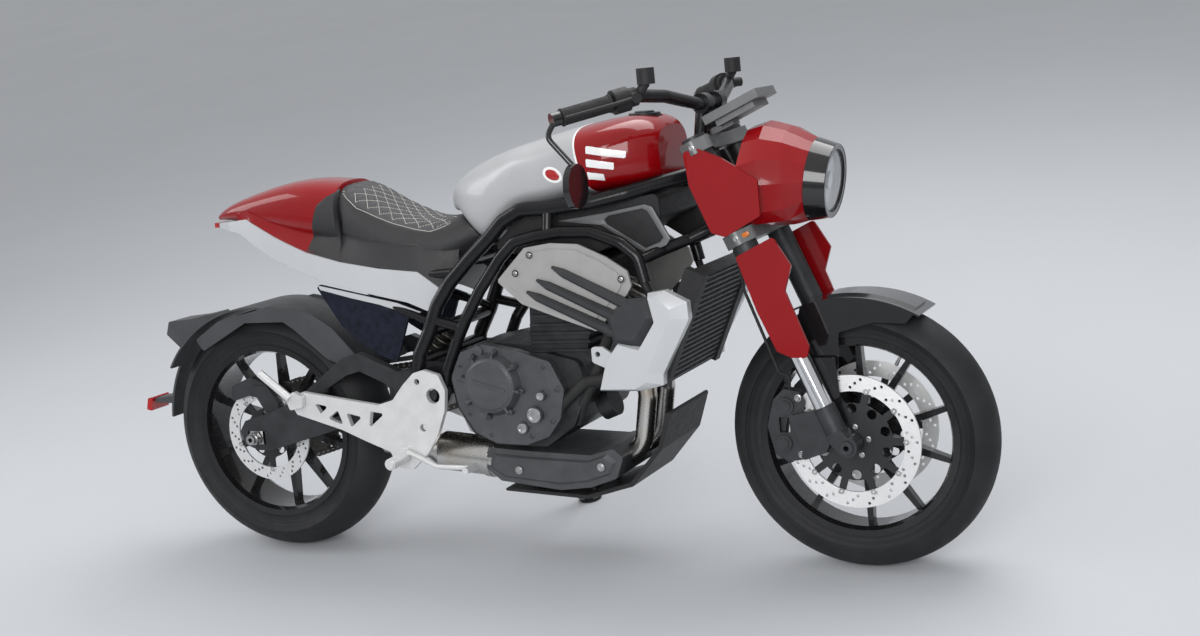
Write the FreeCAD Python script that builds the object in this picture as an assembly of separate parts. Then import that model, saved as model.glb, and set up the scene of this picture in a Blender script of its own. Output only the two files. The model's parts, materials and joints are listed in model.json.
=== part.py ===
"""Cafe racer motorcycle with a parallel twin, leaning on its side stand.

The bike is drawn upright: X forward from the rear axle, Y to the rider's left, Z up from the floor.
Every piece is then leaned onto the stand and moved to the middle of the floor below it.
All sizes are millimetres and degrees.
"""
import FreeCAD
import Part
import math
import os
from functools import lru_cache

V = FreeCAD.Vector
X_AXIS = V(1, 0, 0)
Y_AXIS = V(0, 1, 0)
Z_AXIS = V(0, 0, 1)

# Main sizes
WHEELBASE = 1540.0
FRONT_RADIUS = 300.0
REAR_RADIUS = 312.0
FRONT_TYRE_HALF = 60.0
REAR_TYRE_HALF = 80.0
RIM_FLANGE_RADIUS = 232.0
RIM_SEAT_RADIUS = 216.0
RIM_INNER_RADIUS = 203.0
RIM_FLANGE_TOP = RIM_FLANGE_RADIUS - 8.0
RIM_WALL = 4.0
FRONT_RIM_HALF = 47.0
REAR_RIM_HALF = 66.0
RAKE = 22.5
FORK_OFFSET = 16.0
AXLE_AHEAD = 14.0
LEAN = 10.0

# Where the leaned bike sits in the shared frame
SHIFT_X = -706.0
SHIFT_Y = -159.0
TYRE_SHOULDER = 0.62
CROWN_HEIGHT_FRONT = TYRE_SHOULDER * (FRONT_RADIUS - RIM_FLANGE_RADIUS)
CROWN_HEIGHT_REAR = TYRE_SHOULDER * (REAR_RADIUS - RIM_FLANGE_RADIUS)
CROWN_RADIUS_FRONT = (FRONT_TYRE_HALF ** 2 + CROWN_HEIGHT_FRONT ** 2) / (2 * CROWN_HEIGHT_FRONT)
CROWN_RADIUS_REAR = (REAR_TYRE_HALF ** 2 + CROWN_HEIGHT_REAR ** 2) / (2 * CROWN_HEIGHT_REAR)
CROWN_SINK_FRONT = CROWN_RADIUS_FRONT * (1 - math.cos(math.radians(LEAN)))
CROWN_SINK_REAR = CROWN_RADIUS_REAR * (1 - math.cos(math.radians(LEAN)))
SHIFT_Z = CROWN_SINK_FRONT
REAR_AXLE_Z = REAR_RADIUS + (CROWN_SINK_REAR - CROWN_SINK_FRONT)
REAR_AXLE = V(0, 0, REAR_AXLE_Z)
FRONT_AXLE = V(WHEELBASE, 0, FRONT_RADIUS)

# Clearances
SEAT_GAP = 0.3
BODY_GAP = 6.0

# Steering
STEER_UP = V(-math.sin(math.radians(RAKE)), 0, math.cos(math.radians(RAKE)))
STEER_AHEAD = V(math.cos(math.radians(RAKE)), 0, math.sin(math.radians(RAKE)))
STEER_FOOT = FRONT_AXLE - STEER_AHEAD * (FORK_OFFSET + AXLE_AHEAD)
LEG_Y = 112.0
OUTER_LEG_R = 27.0
CHROME_R = 21.0
LOWER_CLAMP_S = 505.0
TOP_CLAMP_S = 722.0
CLAMP_H = 30.0
HEADSTOCK_R = 30.0
STEER_LIMIT = 28.0
STEM_R = 15.0

# Frame tubes
TUBE_R = 17.0
TUBE_Y = 150.0
LOOP_Y = 165.0

# Side stand, in the upright frame; the leaned floor rises to the left as tan(LEAN)
STAND_PIVOT = V(640, 128, 262)
STAND_FOOT_Y = 292.0
STAND_FOOT_X = 705.0
STAND_ROD_R = 11.0
STAND_PAD_R = 30.0
STAND_PAD_H = 8.0
STAND_KNUCKLE_HALF = 8.0
STAND_CHEEK = 7.0
STAND_CHEEK_GAP = 2.0
STAND_BOLT_R = 8.0
STAND_STOWED = V(-0.985, 0.12, -0.10)


def rounded_wire(points, radius, closed):
    """Wire through the points with an arc of the radius at each corner that has room for it."""
    count = len(points)
    edges = []
    corners = range(count) if closed else range(1, count - 1)
    arcs = {}
    for i in corners:
        before, here, after = points[i - 1], points[i], points[(i + 1) % count]
        a = (before - here)
        b = (after - here)
        half = a.getAngle(b) / 2
        reach = min(radius / math.tan(half), 0.49 * a.Length, 0.49 * b.Length)
        if math.pi - 2 * half < 0.02:
            continue
        a.normalize()
        b.normalize()
        start = here + a * reach
        end = here + b * reach
        bisector = a + b
        bisector.normalize()
        real = reach * math.tan(half)
        middle = here + bisector * (reach / math.cos(half) - real)
        arcs[i] = (start, middle, end)
    order = list(range(count))
    last = None
    for i in order:
        if i in arcs:
            start, middle, end = arcs[i]
            if last is not None and (last - start).Length > 0.001:
                edges.append(Part.makeLine(last, start))
            edges.append(Part.Arc(start, middle, end).toShape())
            last = end
        else:
            if last is not None and (last - points[i]).Length > 0.001:
                edges.append(Part.makeLine(last, points[i]))
            last = points[i]
    if closed:
        first = arcs[0][0] if 0 in arcs else points[0]
        if (last - first).Length > 0.001:
            edges.append(Part.makeLine(last, first))
    return Part.Wire(edges)


def pipe(points, radius, bend=60.0, bore=0.0):
    """Round bar or tube that follows the points with bends."""
    path = rounded_wire(points, bend, False)
    start = points[0]
    along = points[1] - points[0]
    ring = Part.Wire([Part.makeCircle(radius, start, along)])
    shape = path.makePipeShell([ring], True, True, 2)
    if bore > 0:
        inner_ring = Part.Wire([Part.makeCircle(bore, start, along)])
        shape = shape.cut(path.makePipeShell([inner_ring], True, True, 2))
    return shape


def rod(start, end, radius):
    """Straight round bar between two points."""
    return Part.makeCylinder(radius, (end - start).Length, start, end - start)


def flat_bar(start, end, width, thickness, normal):
    """Flat bar between two points; its thickness lies along the normal."""
    along = end - start
    length = along.Length
    along.normalize()
    out = V(normal)
    out.normalize()
    across_bar = out.cross(along)
    base = start - across_bar * (width / 2) - out * (thickness / 2)
    corners = [base, base + across_bar * width, base + across_bar * width + along * length, base + along * length]
    return Part.Face(Part.makePolygon(corners + [corners[0]])).extrude(out * thickness)


def plate(outline, y_low, y_high, corner=4.0, holes=()):
    """Flat plate from an outline of x, z pairs; holes are x, z, radius."""
    points = [V(x, y_low, z) for x, z in outline]
    shape = Part.Face(rounded_wire(points, corner, True)).extrude(V(0, y_high - y_low, 0))
    for x, z, radius in holes:
        shape = shape.cut(Part.makeCylinder(radius, y_high - y_low + 2, V(x, y_low - 1, z), Y_AXIS))
    return shape


def slab(outline, z_low, z_high, corner=4.0):
    """Flat slab from an outline of x, y pairs."""
    points = [V(x, y, z_low) for x, y in outline]
    return Part.Face(rounded_wire(points, corner, True)).extrude(V(0, 0, z_high - z_low))


def mirrored_outline(half):
    """Closed plan outline from x, y pairs of its left half, front to rear."""
    return list(half) + [(x, -y) for x, y in reversed(half)]


def box(x_low, x_high, y_low, y_high, z_low, z_high):
    """Box between two corners."""
    return Part.makeBox(x_high - x_low, y_high - y_low, z_high - z_low, V(x_low, y_low, z_low))


def turned(centre, profile):
    """Solid of revolution about the Y line through the centre; the profile is y, radius pairs."""
    points = [V(centre.x, centre.y + y, centre.z + r) for y, r in profile]
    points.append(points[0])
    return Part.Face(Part.makePolygon(points)).revolve(centre, Y_AXIS, 360)


def section(x, z_low, z_high, half_width, power=2.6, steps=20):
    """Closed rounded section across the bike at x."""
    z_mid = (z_low + z_high) / 2
    half_height = (z_high - z_low) / 2
    points = []
    for i in range(steps):
        turn = 2 * math.pi * i / steps
        c, s = math.cos(turn), math.sin(turn)
        y = half_width * math.copysign(abs(c) ** (2 / power), c)
        z = half_height * math.copysign(abs(s) ** (2 / power), s)
        points.append(V(x, y, z_mid + z))
    curve = Part.BSplineCurve()
    curve.interpolate(points, PeriodicFlag=True)
    return Part.Wire([curve.toShape()])


def hull(stations, power=2.6):
    """Smooth body through sections given as x, low z, high z, half width."""
    return Part.makeLoft([section(*station, power=power) for station in stations], True, False)


def faceted(outline_near, y_near, outline_far, y_far):
    """Body with flat facets between two outlines of x, z pairs that have the same number of points."""
    wires = []
    for outline, y in ((outline_near, y_near), (outline_far, y_far)):
        points = [V(x, y, z) for x, z in outline]
        wires.append(Part.makePolygon(points + [points[0]]))
    return Part.makeLoft(wires, True, True)


def ring_of(count, radius, first=0.0):
    """Offsets in the wheel's plane, evenly spaced round a circle, from an angle in degrees."""
    turns = [math.radians(first + 360.0 / count * k) for k in range(count)]
    return [V(math.sin(turn), 0, math.cos(turn)) * radius for turn in turns]


def both_sides(shape):
    """The shape and its mirror image on the other side."""
    return [shape, shape.mirror(V(0, 0, 0), Y_AXIS)]


def across(shapes):
    """Compound of solids."""
    return Part.makeCompound(shapes)


def joined(shapes):
    """One solid from shapes that touch or overlap."""
    result = shapes[0].fuse(shapes[1:])
    return result.removeSplitter()


def main_solid(shape):
    """The largest solid of a shape, without the crumbs that a cut can leave."""
    return max(shape.Solids, key=lambda solid: solid.Volume)


def fork_point(ahead, y, up):
    """Point in the steering's own directions, measured from the foot of its axis."""
    return STEER_FOOT + STEER_AHEAD * ahead + V(0, y, 0) + STEER_UP * up


def to_fork(shape):
    """Moves a shape drawn with Z along the steering axis onto the axis."""
    result = shape.copy()
    result.rotate(V(0, 0, 0), Y_AXIS, -RAKE)
    result.translate(STEER_FOOT)
    return result


# Wheels
SPOKES = 10
HUB_R_FRONT = 34.0
HUB_R_REAR = 42.0


def tyre(centre, radius, half, rim_half):
    """Tyre with a round crown, beads between the rim's flanges and side walls that bulge over them."""
    side_r = radius - TYRE_SHOULDER * (radius - RIM_FLANGE_RADIUS)
    bead_y = rim_half - RIM_WALL - SEAT_GAP
    bead = RIM_SEAT_RADIUS + SEAT_GAP
    lip = RIM_FLANGE_TOP + SEAT_GAP
    reach = half - bead_y
    rise = side_r - lip
    wall_r = (reach ** 2 + rise ** 2) / (2 * reach)
    turn = math.atan2(rise, wall_r - reach) / 2
    middle_y = half - wall_r * (1 - math.cos(turn))
    middle_r = side_r - wall_r * math.sin(turn)
    c = centre
    wire = Part.Wire([
        Part.makeLine(c + V(0, -bead_y, bead), c + V(0, bead_y, bead)),
        Part.makeLine(c + V(0, bead_y, bead), c + V(0, bead_y, lip)),
        Part.Arc(c + V(0, bead_y, lip), c + V(0, middle_y, middle_r), c + V(0, half, side_r)).toShape(),
        Part.Arc(c + V(0, half, side_r), c + V(0, 0, radius), c + V(0, -half, side_r)).toShape(),
        Part.Arc(c + V(0, -half, side_r), c + V(0, -middle_y, middle_r), c + V(0, -bead_y, lip)).toShape(),
        Part.makeLine(c + V(0, -bead_y, lip), c + V(0, -bead_y, bead)),
    ])
    return Part.Face(wire).revolve(c, Y_AXIS, 360)


def rim(centre, rim_half, hub_r, hub_half, bore):
    """Cast rim: barrel with flanges, hub and thin spokes in pairs."""
    flange = RIM_FLANGE_TOP
    wall = RIM_WALL
    profile = [
        (-rim_half, RIM_INNER_RADIUS + 6), (-rim_half, flange), (-rim_half + wall, flange),
        (-rim_half + wall, RIM_SEAT_RADIUS), (rim_half - wall, RIM_SEAT_RADIUS), (rim_half - wall, flange),
        (rim_half, flange), (rim_half, RIM_INNER_RADIUS + 6), (rim_half - 14, RIM_INNER_RADIUS),
        (-rim_half + 14, RIM_INNER_RADIUS),
    ]
    shape = turned(centre, profile)
    hub = Part.makeCylinder(hub_r, 2 * hub_half, centre - Y_AXIS * hub_half, Y_AXIS)
    parts = [shape, hub]
    for k in range(SPOKES):
        pair = k % 2
        base = 360.0 / SPOKES * (k - pair) + (9 if pair else -9) + 18
        tip = 360.0 / SPOKES * (k - pair) + (17 if pair else -17) + 18
        inner = V(math.sin(math.radians(base)), 0, math.cos(math.radians(base))) * (hub_r - 4)
        outer = V(math.sin(math.radians(tip)), 0, math.cos(math.radians(tip))) * (RIM_INNER_RADIUS + 3)
        side = outer - inner
        side.normalize()
        side = side.cross(Y_AXIS)
        root = [inner + side * 11 + Y_AXIS * 16, inner - side * 11 + Y_AXIS * 16,
                inner - side * 11 - Y_AXIS * 16, inner + side * 11 - Y_AXIS * 16]
        end = [outer + side * 6 + Y_AXIS * 11, outer - side * 6 + Y_AXIS * 11,
               outer - side * 6 - Y_AXIS * 11, outer + side * 6 - Y_AXIS * 11]
        wires = [Part.makePolygon([centre + p for p in ring] + [centre + ring[0]]) for ring in (root, end)]
        parts.append(Part.makeLoft(wires, True, True))
    whole = joined(parts)
    return whole.cut(Part.makeCylinder(bore, 2 * hub_half + 2, centre - Y_AXIS * (hub_half + 1), Y_AXIS))


DISC_HALF = 2.5
DISC_HOLE_ROWS = 18
DISC_HOLE_R = 3.4
FRONT_DISC_R = 148.0
FRONT_DISC_Y = 78.0
REAR_DISC_R = 122.0
REAR_DISC_Y = -84.0


def disc(centre, y, radius, inner, hub_r, arms, hub_half):
    """Drilled brake disc, its petals and windows, and the carrier that reaches in to the hub."""
    c = centre + V(0, y, 0)
    thick = 2 * DISC_HALF
    face = c - Y_AXIS * (DISC_HALF + 1)
    ring = Part.makeCylinder(radius, thick, c - Y_AXIS * DISC_HALF, Y_AXIS)
    cuts = [Part.makeCylinder(inner, thick + 2, face, Y_AXIS)]
    band = radius - inner
    for k in range(DISC_HOLE_ROWS):
        turn = 360.0 / DISC_HOLE_ROWS * k
        for step, share in enumerate((0.24, 0.5, 0.76)):
            spot = ring_of(1, inner + band * share, turn + 5.0 * step)[0]
            cuts.append(Part.makeCylinder(DISC_HOLE_R, thick + 2, face + spot, Y_AXIS))
    cuts += [Part.makeCylinder(5.0, thick + 2, face + spot, Y_AXIS)
             for spot in ring_of(arms, inner + 1, 180.0 / arms)]
    ring = ring.cut(cuts)
    inward = -1 if y > 0 else 1
    reach = abs(y) - hub_half + DISC_HALF
    carrier = [Part.makeCylinder(hub_r, reach, c - Y_AXIS * (DISC_HALF * inward), Y_AXIS * inward)]
    plate_r = inner - 26
    petal_plate = Part.makeCylinder(plate_r, thick - 1, c - Y_AXIS * (DISC_HALF - 0.5), Y_AXIS)
    windows = [Part.makeCylinder(11, thick + 2, face + spot, Y_AXIS) for spot in ring_of(arms, plate_r - 12)]
    carrier.append(petal_plate.cut(windows))
    for k, spot in enumerate(ring_of(arms, inner + 4, 180.0 / arms)):
        turn = 360.0 / arms * k + 180.0 / arms
        arm = box(-8, 8, -DISC_HALF + 0.5, DISC_HALF - 0.5, plate_r - 6, inner + 5)
        arm.rotate(V(0, 0, 0), Y_AXIS, turn)
        arm.translate(c)
        carrier.append(arm)
        carrier.append(Part.makeCylinder(7.5, thick + 3, c + spot - Y_AXIS * (DISC_HALF + 1.5), Y_AXIS))
    return joined([ring] + carrier)


def front_wheel_rim():
    return rim(FRONT_AXLE, FRONT_RIM_HALF, HUB_R_FRONT, 62, FRONT_AXLE_R + SEAT_GAP)


def front_tyre():
    return tyre(FRONT_AXLE, FRONT_RADIUS, FRONT_TYRE_HALF, FRONT_RIM_HALF)


def front_discs():
    bore = Part.makeCylinder(FRONT_AXLE_R + 6, 300, FRONT_AXLE - Y_AXIS * 150, Y_AXIS)
    shapes = []
    for side in (1, -1):
        shape = disc(FRONT_AXLE, side * FRONT_DISC_Y, FRONT_DISC_R, 112, 44, 10, 62)
        shapes.append(shape.cut(bore))
    return across(shapes)


def rear_wheel_rim():
    return rim(REAR_AXLE, REAR_RIM_HALF, HUB_R_REAR, 66, REAR_AXLE_R + SEAT_GAP)


def rear_tyre():
    return tyre(REAR_AXLE, REAR_RADIUS, REAR_TYRE_HALF, REAR_RIM_HALF)


def rear_disc():
    bore = Part.makeCylinder(REAR_AXLE_R + 6, 300, REAR_AXLE - Y_AXIS * 150, Y_AXIS)
    return disc(REAR_AXLE, REAR_DISC_Y, REAR_DISC_R, 90, 46, 5, 66).cut(bore)


FRONT_AXLE_R = 10.0
REAR_AXLE_R = 12.5
FRONT_AXLE_HALF = 142.0
REAR_AXLE_HALF = 165.0
AXLE_BORE_R = 6.0


def front_axle():
    pin = Part.makeCylinder(FRONT_AXLE_R, 2 * FRONT_AXLE_HALF, FRONT_AXLE - Y_AXIS * FRONT_AXLE_HALF, Y_AXIS)
    head = Part.makeCylinder(FRONT_AXLE_R + 5, 6, FRONT_AXLE - Y_AXIS * FRONT_AXLE_HALF, Y_AXIS)
    end = Part.makeCylinder(FRONT_AXLE_R + 5, 6, FRONT_AXLE + Y_AXIS * (FRONT_AXLE_HALF - 6), Y_AXIS)
    spacers = []
    bore = Part.makeCylinder(AXLE_BORE_R, 2 * FRONT_AXLE_HALF + 2, FRONT_AXLE - Y_AXIS * (FRONT_AXLE_HALF + 1), Y_AXIS)
    return joined([pin, head, end] + spacers).cut(bore)


def rear_axle():
    pin = Part.makeCylinder(REAR_AXLE_R, 2 * REAR_AXLE_HALF, REAR_AXLE - Y_AXIS * REAR_AXLE_HALF, Y_AXIS)
    nuts = []
    for side in (1, -1):
        nut = Part.makePolygon([V(17 * math.cos(math.radians(60 * k)), 0, 17 * math.sin(math.radians(60 * k)))
                                for k in range(7)])
        nut = Part.Face(nut).extrude(V(0, 14, 0))
        nut.translate(REAR_AXLE + Y_AXIS * (140 if side > 0 else -154))
        nuts.append(nut)
    bore = Part.makeCylinder(AXLE_BORE_R, 2 * REAR_AXLE_HALF + 2, REAR_AXLE - Y_AXIS * (REAR_AXLE_HALF + 1), Y_AXIS)
    return joined([pin] + nuts).cut(bore)


# Final drive on the left
CHAIN_Y = 96.0
CHAIN_PITCH = 15.875
REAR_TEETH = 40
DRIVE_TEETH = 16
SPROCKET_R = CHAIN_PITCH / 2 / math.sin(math.pi / REAR_TEETH)
DRIVE_SPROCKET_R = CHAIN_PITCH / 2 / math.sin(math.pi / DRIVE_TEETH)
TOOTH_RISE = 4.5
ROLLER_R = 5.0
ROLLER_SIDES = 8
LINK_R = 7.2
LINK_WAIST = 4.6
LINK_CREST = 4.4
LINK_PLATE = 2.0
LINK_INNER_HALF = 4.5
DRIVE_SPROCKET = V(640, CHAIN_Y, 440)
DRIVE_WHEEL_HALF = 3.0
DRIVE_SHAFT_R = 14.0
CHAIN_HALF_HEIGHT = LINK_R
CHAIN_ROOM = 5.0
CHAIN_ROOM_HALF = 13.0


def toothed_wheel(centre, radius, teeth, half, first):
    """Wheel with a tooth between each two seats of the chain's rollers; radius is to the rollers."""
    wheel = Part.makeCylinder(radius + TOOTH_RISE, 2 * half, centre - Y_AXIS * half, Y_AXIS)
    base = centre - Y_AXIS * (half + 1)
    seats = [Part.makeCylinder(ROLLER_R + SEAT_GAP, 2 * half + 2, base + spot, Y_AXIS)
             for spot in ring_of(teeth, radius, first)]
    return wheel.cut(seats)


def rear_sprocket():
    """Toothed wheel with round windows and a boss to the hub."""
    c = REAR_AXLE + V(0, CHAIN_Y, 0)
    body = toothed_wheel(c, SPROCKET_R, REAR_TEETH, 2.5, 0)
    body = body.cut([Part.makeCylinder(20, 10, c + spot - Y_AXIS * 5, Y_AXIS) for spot in ring_of(5, 62)])
    boss = Part.makeCylinder(34, CHAIN_Y - 66 - 2.5, c - Y_AXIS * 2.5, Y_AXIS * -1)
    bore = Part.makeCylinder(REAR_AXLE_R + 6, 300, REAR_AXLE - Y_AXIS * 150, Y_AXIS)
    return joined([body, boss]).cut(bore)


def chain_runs():
    """Ends of the two straight runs tangent to both toothed wheels, upper run first."""
    a, b = REAR_AXLE, V(DRIVE_SPROCKET.x, 0, DRIVE_SPROCKET.z)
    line = b - a
    slope = math.atan2(line.z, line.x)
    fall = math.asin((SPROCKET_R - DRIVE_SPROCKET_R) / line.Length)
    runs = []
    for side in (1, -1):
        angle = slope + side * (math.pi / 2 - fall)
        out = V(math.cos(angle), 0, math.sin(angle))
        runs.append((a + out * SPROCKET_R, b + out * DRIVE_SPROCKET_R))
    return runs


def turned_about_y(direction, radians):
    """The direction turned about the Y line, from up towards forward."""
    return FreeCAD.Rotation(Y_AXIS, math.degrees(radians)).multVec(direction)


@lru_cache(maxsize=None)
def chain_pins():
    """Places of the chain's pins round its loop and their outward directions, from the drive wheel's front."""
    (top_rear, top_front), (low_rear, low_front) = chain_runs()
    drive = V(DRIVE_SPROCKET.x, 0, DRIVE_SPROCKET.z)
    up = (top_front - drive).normalize()
    down = (low_front - drive).normalize()
    run = (top_front - top_rear).Length
    front_arc = up.getAngle(down) * DRIVE_SPROCKET_R
    rear_arc = (2 * math.pi - up.getAngle(down)) * SPROCKET_R
    total = 2 * run + front_arc + rear_arc
    count = 2 * round(total / CHAIN_PITCH / 2)
    pins = []
    for k in range(count):
        way = (front_arc / 2 + total * k / count) % total
        if way < front_arc:
            out = turned_about_y(up, way / DRIVE_SPROCKET_R)
            place = drive + out * DRIVE_SPROCKET_R
        elif way < front_arc + run:
            out = down
            place = low_front + (low_rear - low_front) * ((way - front_arc) / run)
        elif way < front_arc + run + rear_arc:
            out = turned_about_y(down, (way - front_arc - run) / SPROCKET_R)
            place = REAR_AXLE + out * SPROCKET_R
        else:
            out = up
            place = top_rear + (top_front - top_rear) * ((way - front_arc - run - rear_arc) / run)
        pins.append((place, out))
    return pins


def drive_sprocket():
    """Toothed wheel and shaft that carry the chain in the engine's pocket."""
    c = V(DRIVE_SPROCKET)
    pins = chain_pins()
    first = math.degrees(math.atan2(pins[0][1].x, pins[0][1].z))
    wheel = toothed_wheel(c, DRIVE_SPROCKET_R, DRIVE_TEETH, DRIVE_WHEEL_HALF, first)
    near = [place + V(0, CHAIN_Y - DRIVE_WHEEL_HALF - 1, 0) for place, _ in pins
            if (place + V(0, CHAIN_Y, 0) - c).Length < DRIVE_SPROCKET_R + 2 * ROLLER_R]
    wheel = wheel.cut([Part.makeCylinder(ROLLER_R + SEAT_GAP, 2 * DRIVE_WHEEL_HALF + 2, base, Y_AXIS)
                       for base in near])
    shaft = Part.makeCylinder(DRIVE_SHAFT_R, 2 * CHAIN_ROOM_HALF + 2, c - Y_AXIS * (CHAIN_ROOM_HALF + 1), Y_AXIS)
    return [wheel, shaft]


def link_outline(pins, side):
    """Closed scalloped outline of the link plates on the outer or inner side of the pins."""
    points = []
    for (place, out), (following, following_out) in zip(pins, pins[1:] + pins[:1]):
        along = Y_AXIS.cross(out)
        points.append(place - along * LINK_CREST + out * (side * LINK_R))
        points.append(place + along * LINK_CREST + out * (side * LINK_R))
        waist = out + following_out
        waist.normalize()
        points.append((place + following) * 0.5 + waist * (side * LINK_WAIST))
    return Part.Face(Part.makePolygon(points + [points[0]]))


def chain():
    """Roller chain round both toothed wheels: scalloped link plates each side and the rollers between them."""
    pins = chain_pins()
    room = SPROCKET_R + TOOTH_RISE + ROLLER_R + SEAT_GAP
    rollers = []
    for place, _ in pins:
        if (place - REAR_AXLE).Length > room:
            base = place + V(0, CHAIN_Y - LINK_INNER_HALF, 0)
            corners = [base + spot for spot in ring_of(ROLLER_SIDES, ROLLER_R)]
            rollers.append(Part.Face(Part.makePolygon(corners + [corners[0]])).extrude(V(0, 2 * LINK_INNER_HALF, 0)))
    plates = []
    for y in (-LINK_INNER_HALF - LINK_PLATE, LINK_INNER_HALF):
        loops = [link_outline(pins, side).extrude(V(0, LINK_PLATE, 0)) for side in (1, -1)]
        band = loops[0].cut(loops[1])
        band.translate(V(0, CHAIN_Y + y, 0))
        plates.append(band)
    return joined(plates + rollers)


def chain_room():
    """Room that the engine leaves round the drive sprocket and both runs of the chain."""
    wide = CHAIN_HALF_HEIGHT + CHAIN_ROOM
    low, high = CHAIN_Y - CHAIN_ROOM_HALF, CHAIN_Y + CHAIN_ROOM_HALF
    corners = []
    for (start, end), order in zip(chain_runs(), (1, -1)):
        out = start - REAR_AXLE
        out.normalize()
        corners += [start + out * wide, end + out * wide][::order]
    corners = [V(p.x, low, p.z) for p in corners]
    corridor = Part.Face(Part.makePolygon(corners + [corners[0]])).extrude(V(0, high - low, 0))
    pocket = Part.makeCylinder(DRIVE_SPROCKET_R + wide, high - low, V(DRIVE_SPROCKET.x, low, DRIVE_SPROCKET.z),
                               Y_AXIS)
    return joined([corridor, pocket])


SWINGARM_INNER = 112.0
SWINGARM_WALL = 24.0
AXLE_BLOCK_H = 34.0
AXLE_BLOCK_HALF = 19.0
AXLE_SLOT_HALF = 26.0


def chain_guard():
    """Guard over the upper run of the chain, fixed to the swingarm."""
    return plate([(60, 438), (150, 449), (420, 482), (440, 478), (430, 472), (150, 440), (70, 430)],
                 CHAIN_Y - 6, SWINGARM_INNER, 4)


# Frame
PIVOT = V(540, 0, 430)
PIVOT_R = 20.0
PIVOT_HALF = 168.0
LOOP_R = 14.0
STRUT_R = 13.0
UPPER_TUBE = [(999, 859), (900, 851), (823, 851), (775, 828), (738, 793),
              (680, 746), (620, 692), (578, 639), (551, 580), (515, 521), (505, 470)]
LOWER_TUBE = [(1120, 678), (1108, 735), (1069, 768), (1000, 795), (925, 798), (861, 791), (805, 780), (766, 745),
              (705, 673), (666, 616)]
LOWER_TUBE_END = [(624, 558), (588, 487), (575, 450)]


@lru_cache(maxsize=None)
def frame():
    """Twin loops of black tube each side of the engine, head tube and cross tubes."""
    shapes = []
    for side in (1, -1):
        upper = [V(1245, side * 16, 905), V(1150, side * 84, 888), V(1075, side * 136, 872)]
        upper += [V(x, side * TUBE_Y, z) for x, z in UPPER_TUBE]
        shapes.append(pipe(upper, TUBE_R, 45))
        lower = [V(x, side * LOOP_Y, z) for x, z in LOWER_TUBE]
        lower += [V(x, side * TUBE_Y, z) for x, z in LOWER_TUBE_END]
        shapes.append(pipe(lower, LOOP_R, 30))
        shapes.append(pipe([V(1108, side * LOOP_Y, 725), V(1150, side * 106, 742), V(1195, side * 72, 757),
                            V(1300, side * 16, 800)], STRUT_R, 30))
        pivot_plate = plate([(488, 505), (575, 505), (592, 430), (570, 392), (515, 388), (488, 430)],
                            side * 144 - 6, side * 144 + 6, 12, [(PIVOT.x, PIVOT.z, PIVOT_R + SEAT_GAP)])
        shapes.append(pivot_plate)
        shapes.append(rod(V(893, side * (TUBE_Y + 1), 848), V(893, side * (LOOP_Y - 1), 797), 12))
        shapes.append(rod(V(562, side * TUBE_Y, 605), V(642, side * 157, 585), 12))
    shapes.append(rod(fork_point(0, 0, LOWER_CLAMP_S + CLAMP_H / 2 + BODY_GAP),
                      fork_point(0, 0, TOP_CLAMP_S - CLAMP_H / 2 - BODY_GAP), HEADSTOCK_R))
    shapes.append(rod(V(545, -TUBE_Y, 575), V(545, TUBE_Y, 575), TUBE_R - 3))
    shapes.append(rod(V(511, -TUBE_Y, 502), V(511, TUBE_Y, 502), TUBE_R))
    shapes.append(rod(V(1030, -TUBE_Y, 864), V(1030, TUBE_Y, 864), TUBE_R - 4))
    shapes.append(rod(V(680, -TUBE_Y, 746), V(680, TUBE_Y, 746), TUBE_R - 4))
    whole = joined(shapes)
    stem_hole = rod(fork_point(0, 0, LOWER_CLAMP_S), fork_point(0, 0, TOP_CLAMP_S), STEM_R + SEAT_GAP)
    return whole.cut(stem_hole)


@lru_cache(maxsize=None)
def subframe():
    """Seat rails from the main frame to the tail."""
    shapes = []
    for side in (1, -1):
        shapes.append(pipe([V(640, side * 128, 712), V(420, side * 105, 700), V(60, side * 60, 815)], 11, 60))
        shapes.append(pipe([V(560, side * 134, 590), V(420, side * 112, 640), V(250, side * 88, 745)], 10, 40))
        shapes.append(rod(V(641, side * 127, 712), V(652, side * 150, 722), 11))
        shapes.append(rod(V(561, side * 133, 590), V(556, side * 150, 592), 10))
    shapes.append(rod(V(250, -90, 752), V(250, 90, 752), 9))
    shapes.append(rod(V(120, -72, 796), V(120, 72, 796), 9))
    return joined(shapes).cut(frame())


# Engine
CASE_HALF = 150.0


@lru_cache(maxsize=None)
def engine():
    """Crankcase and cylinder block of the parallel twin, as one heavy casting."""
    case_outline = [(588, 500), (600, 400), (640, 330), (700, 305), (830, 300), (905, 350), (945, 430),
                    (930, 500), (850, 520), (700, 520)]
    case = plate(case_outline, -CASE_HALF, CASE_HALF, 24)
    block_outline = [(800, 500), (935, 480), (975, 640), (985, 720), (840, 740), (810, 640)]
    block = plate(block_outline, -128, 128, 14)
    gearbox = plate([(560, 470), (590, 520), (700, 540), (820, 530), (820, 480), (600, 420)], -110, 110, 16)
    return joined([case, block, gearbox])


@lru_cache(maxsize=None)
def engine_block():
    """The engine casting with its ribs, head cover and oil filter, and the drive sprocket in its pocket."""
    head = plate([(846, 700), (984, 684), (990, 718), (975, 730), (850, 736)], -112, 112, 10)
    casting = joined([engine(), head] + cylinder_fins().Solids).cut([frame(), chain_room()])
    oil_filter = rod(V(930, -40, 372), V(962, -40, 384), 34)
    return joined([casting, oil_filter] + drive_sprocket())


def engine_covers():
    """Covers on both sides of the crankcase."""
    return across(right_cover().Solids + left_cover().Solids).cut(frame())


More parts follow.
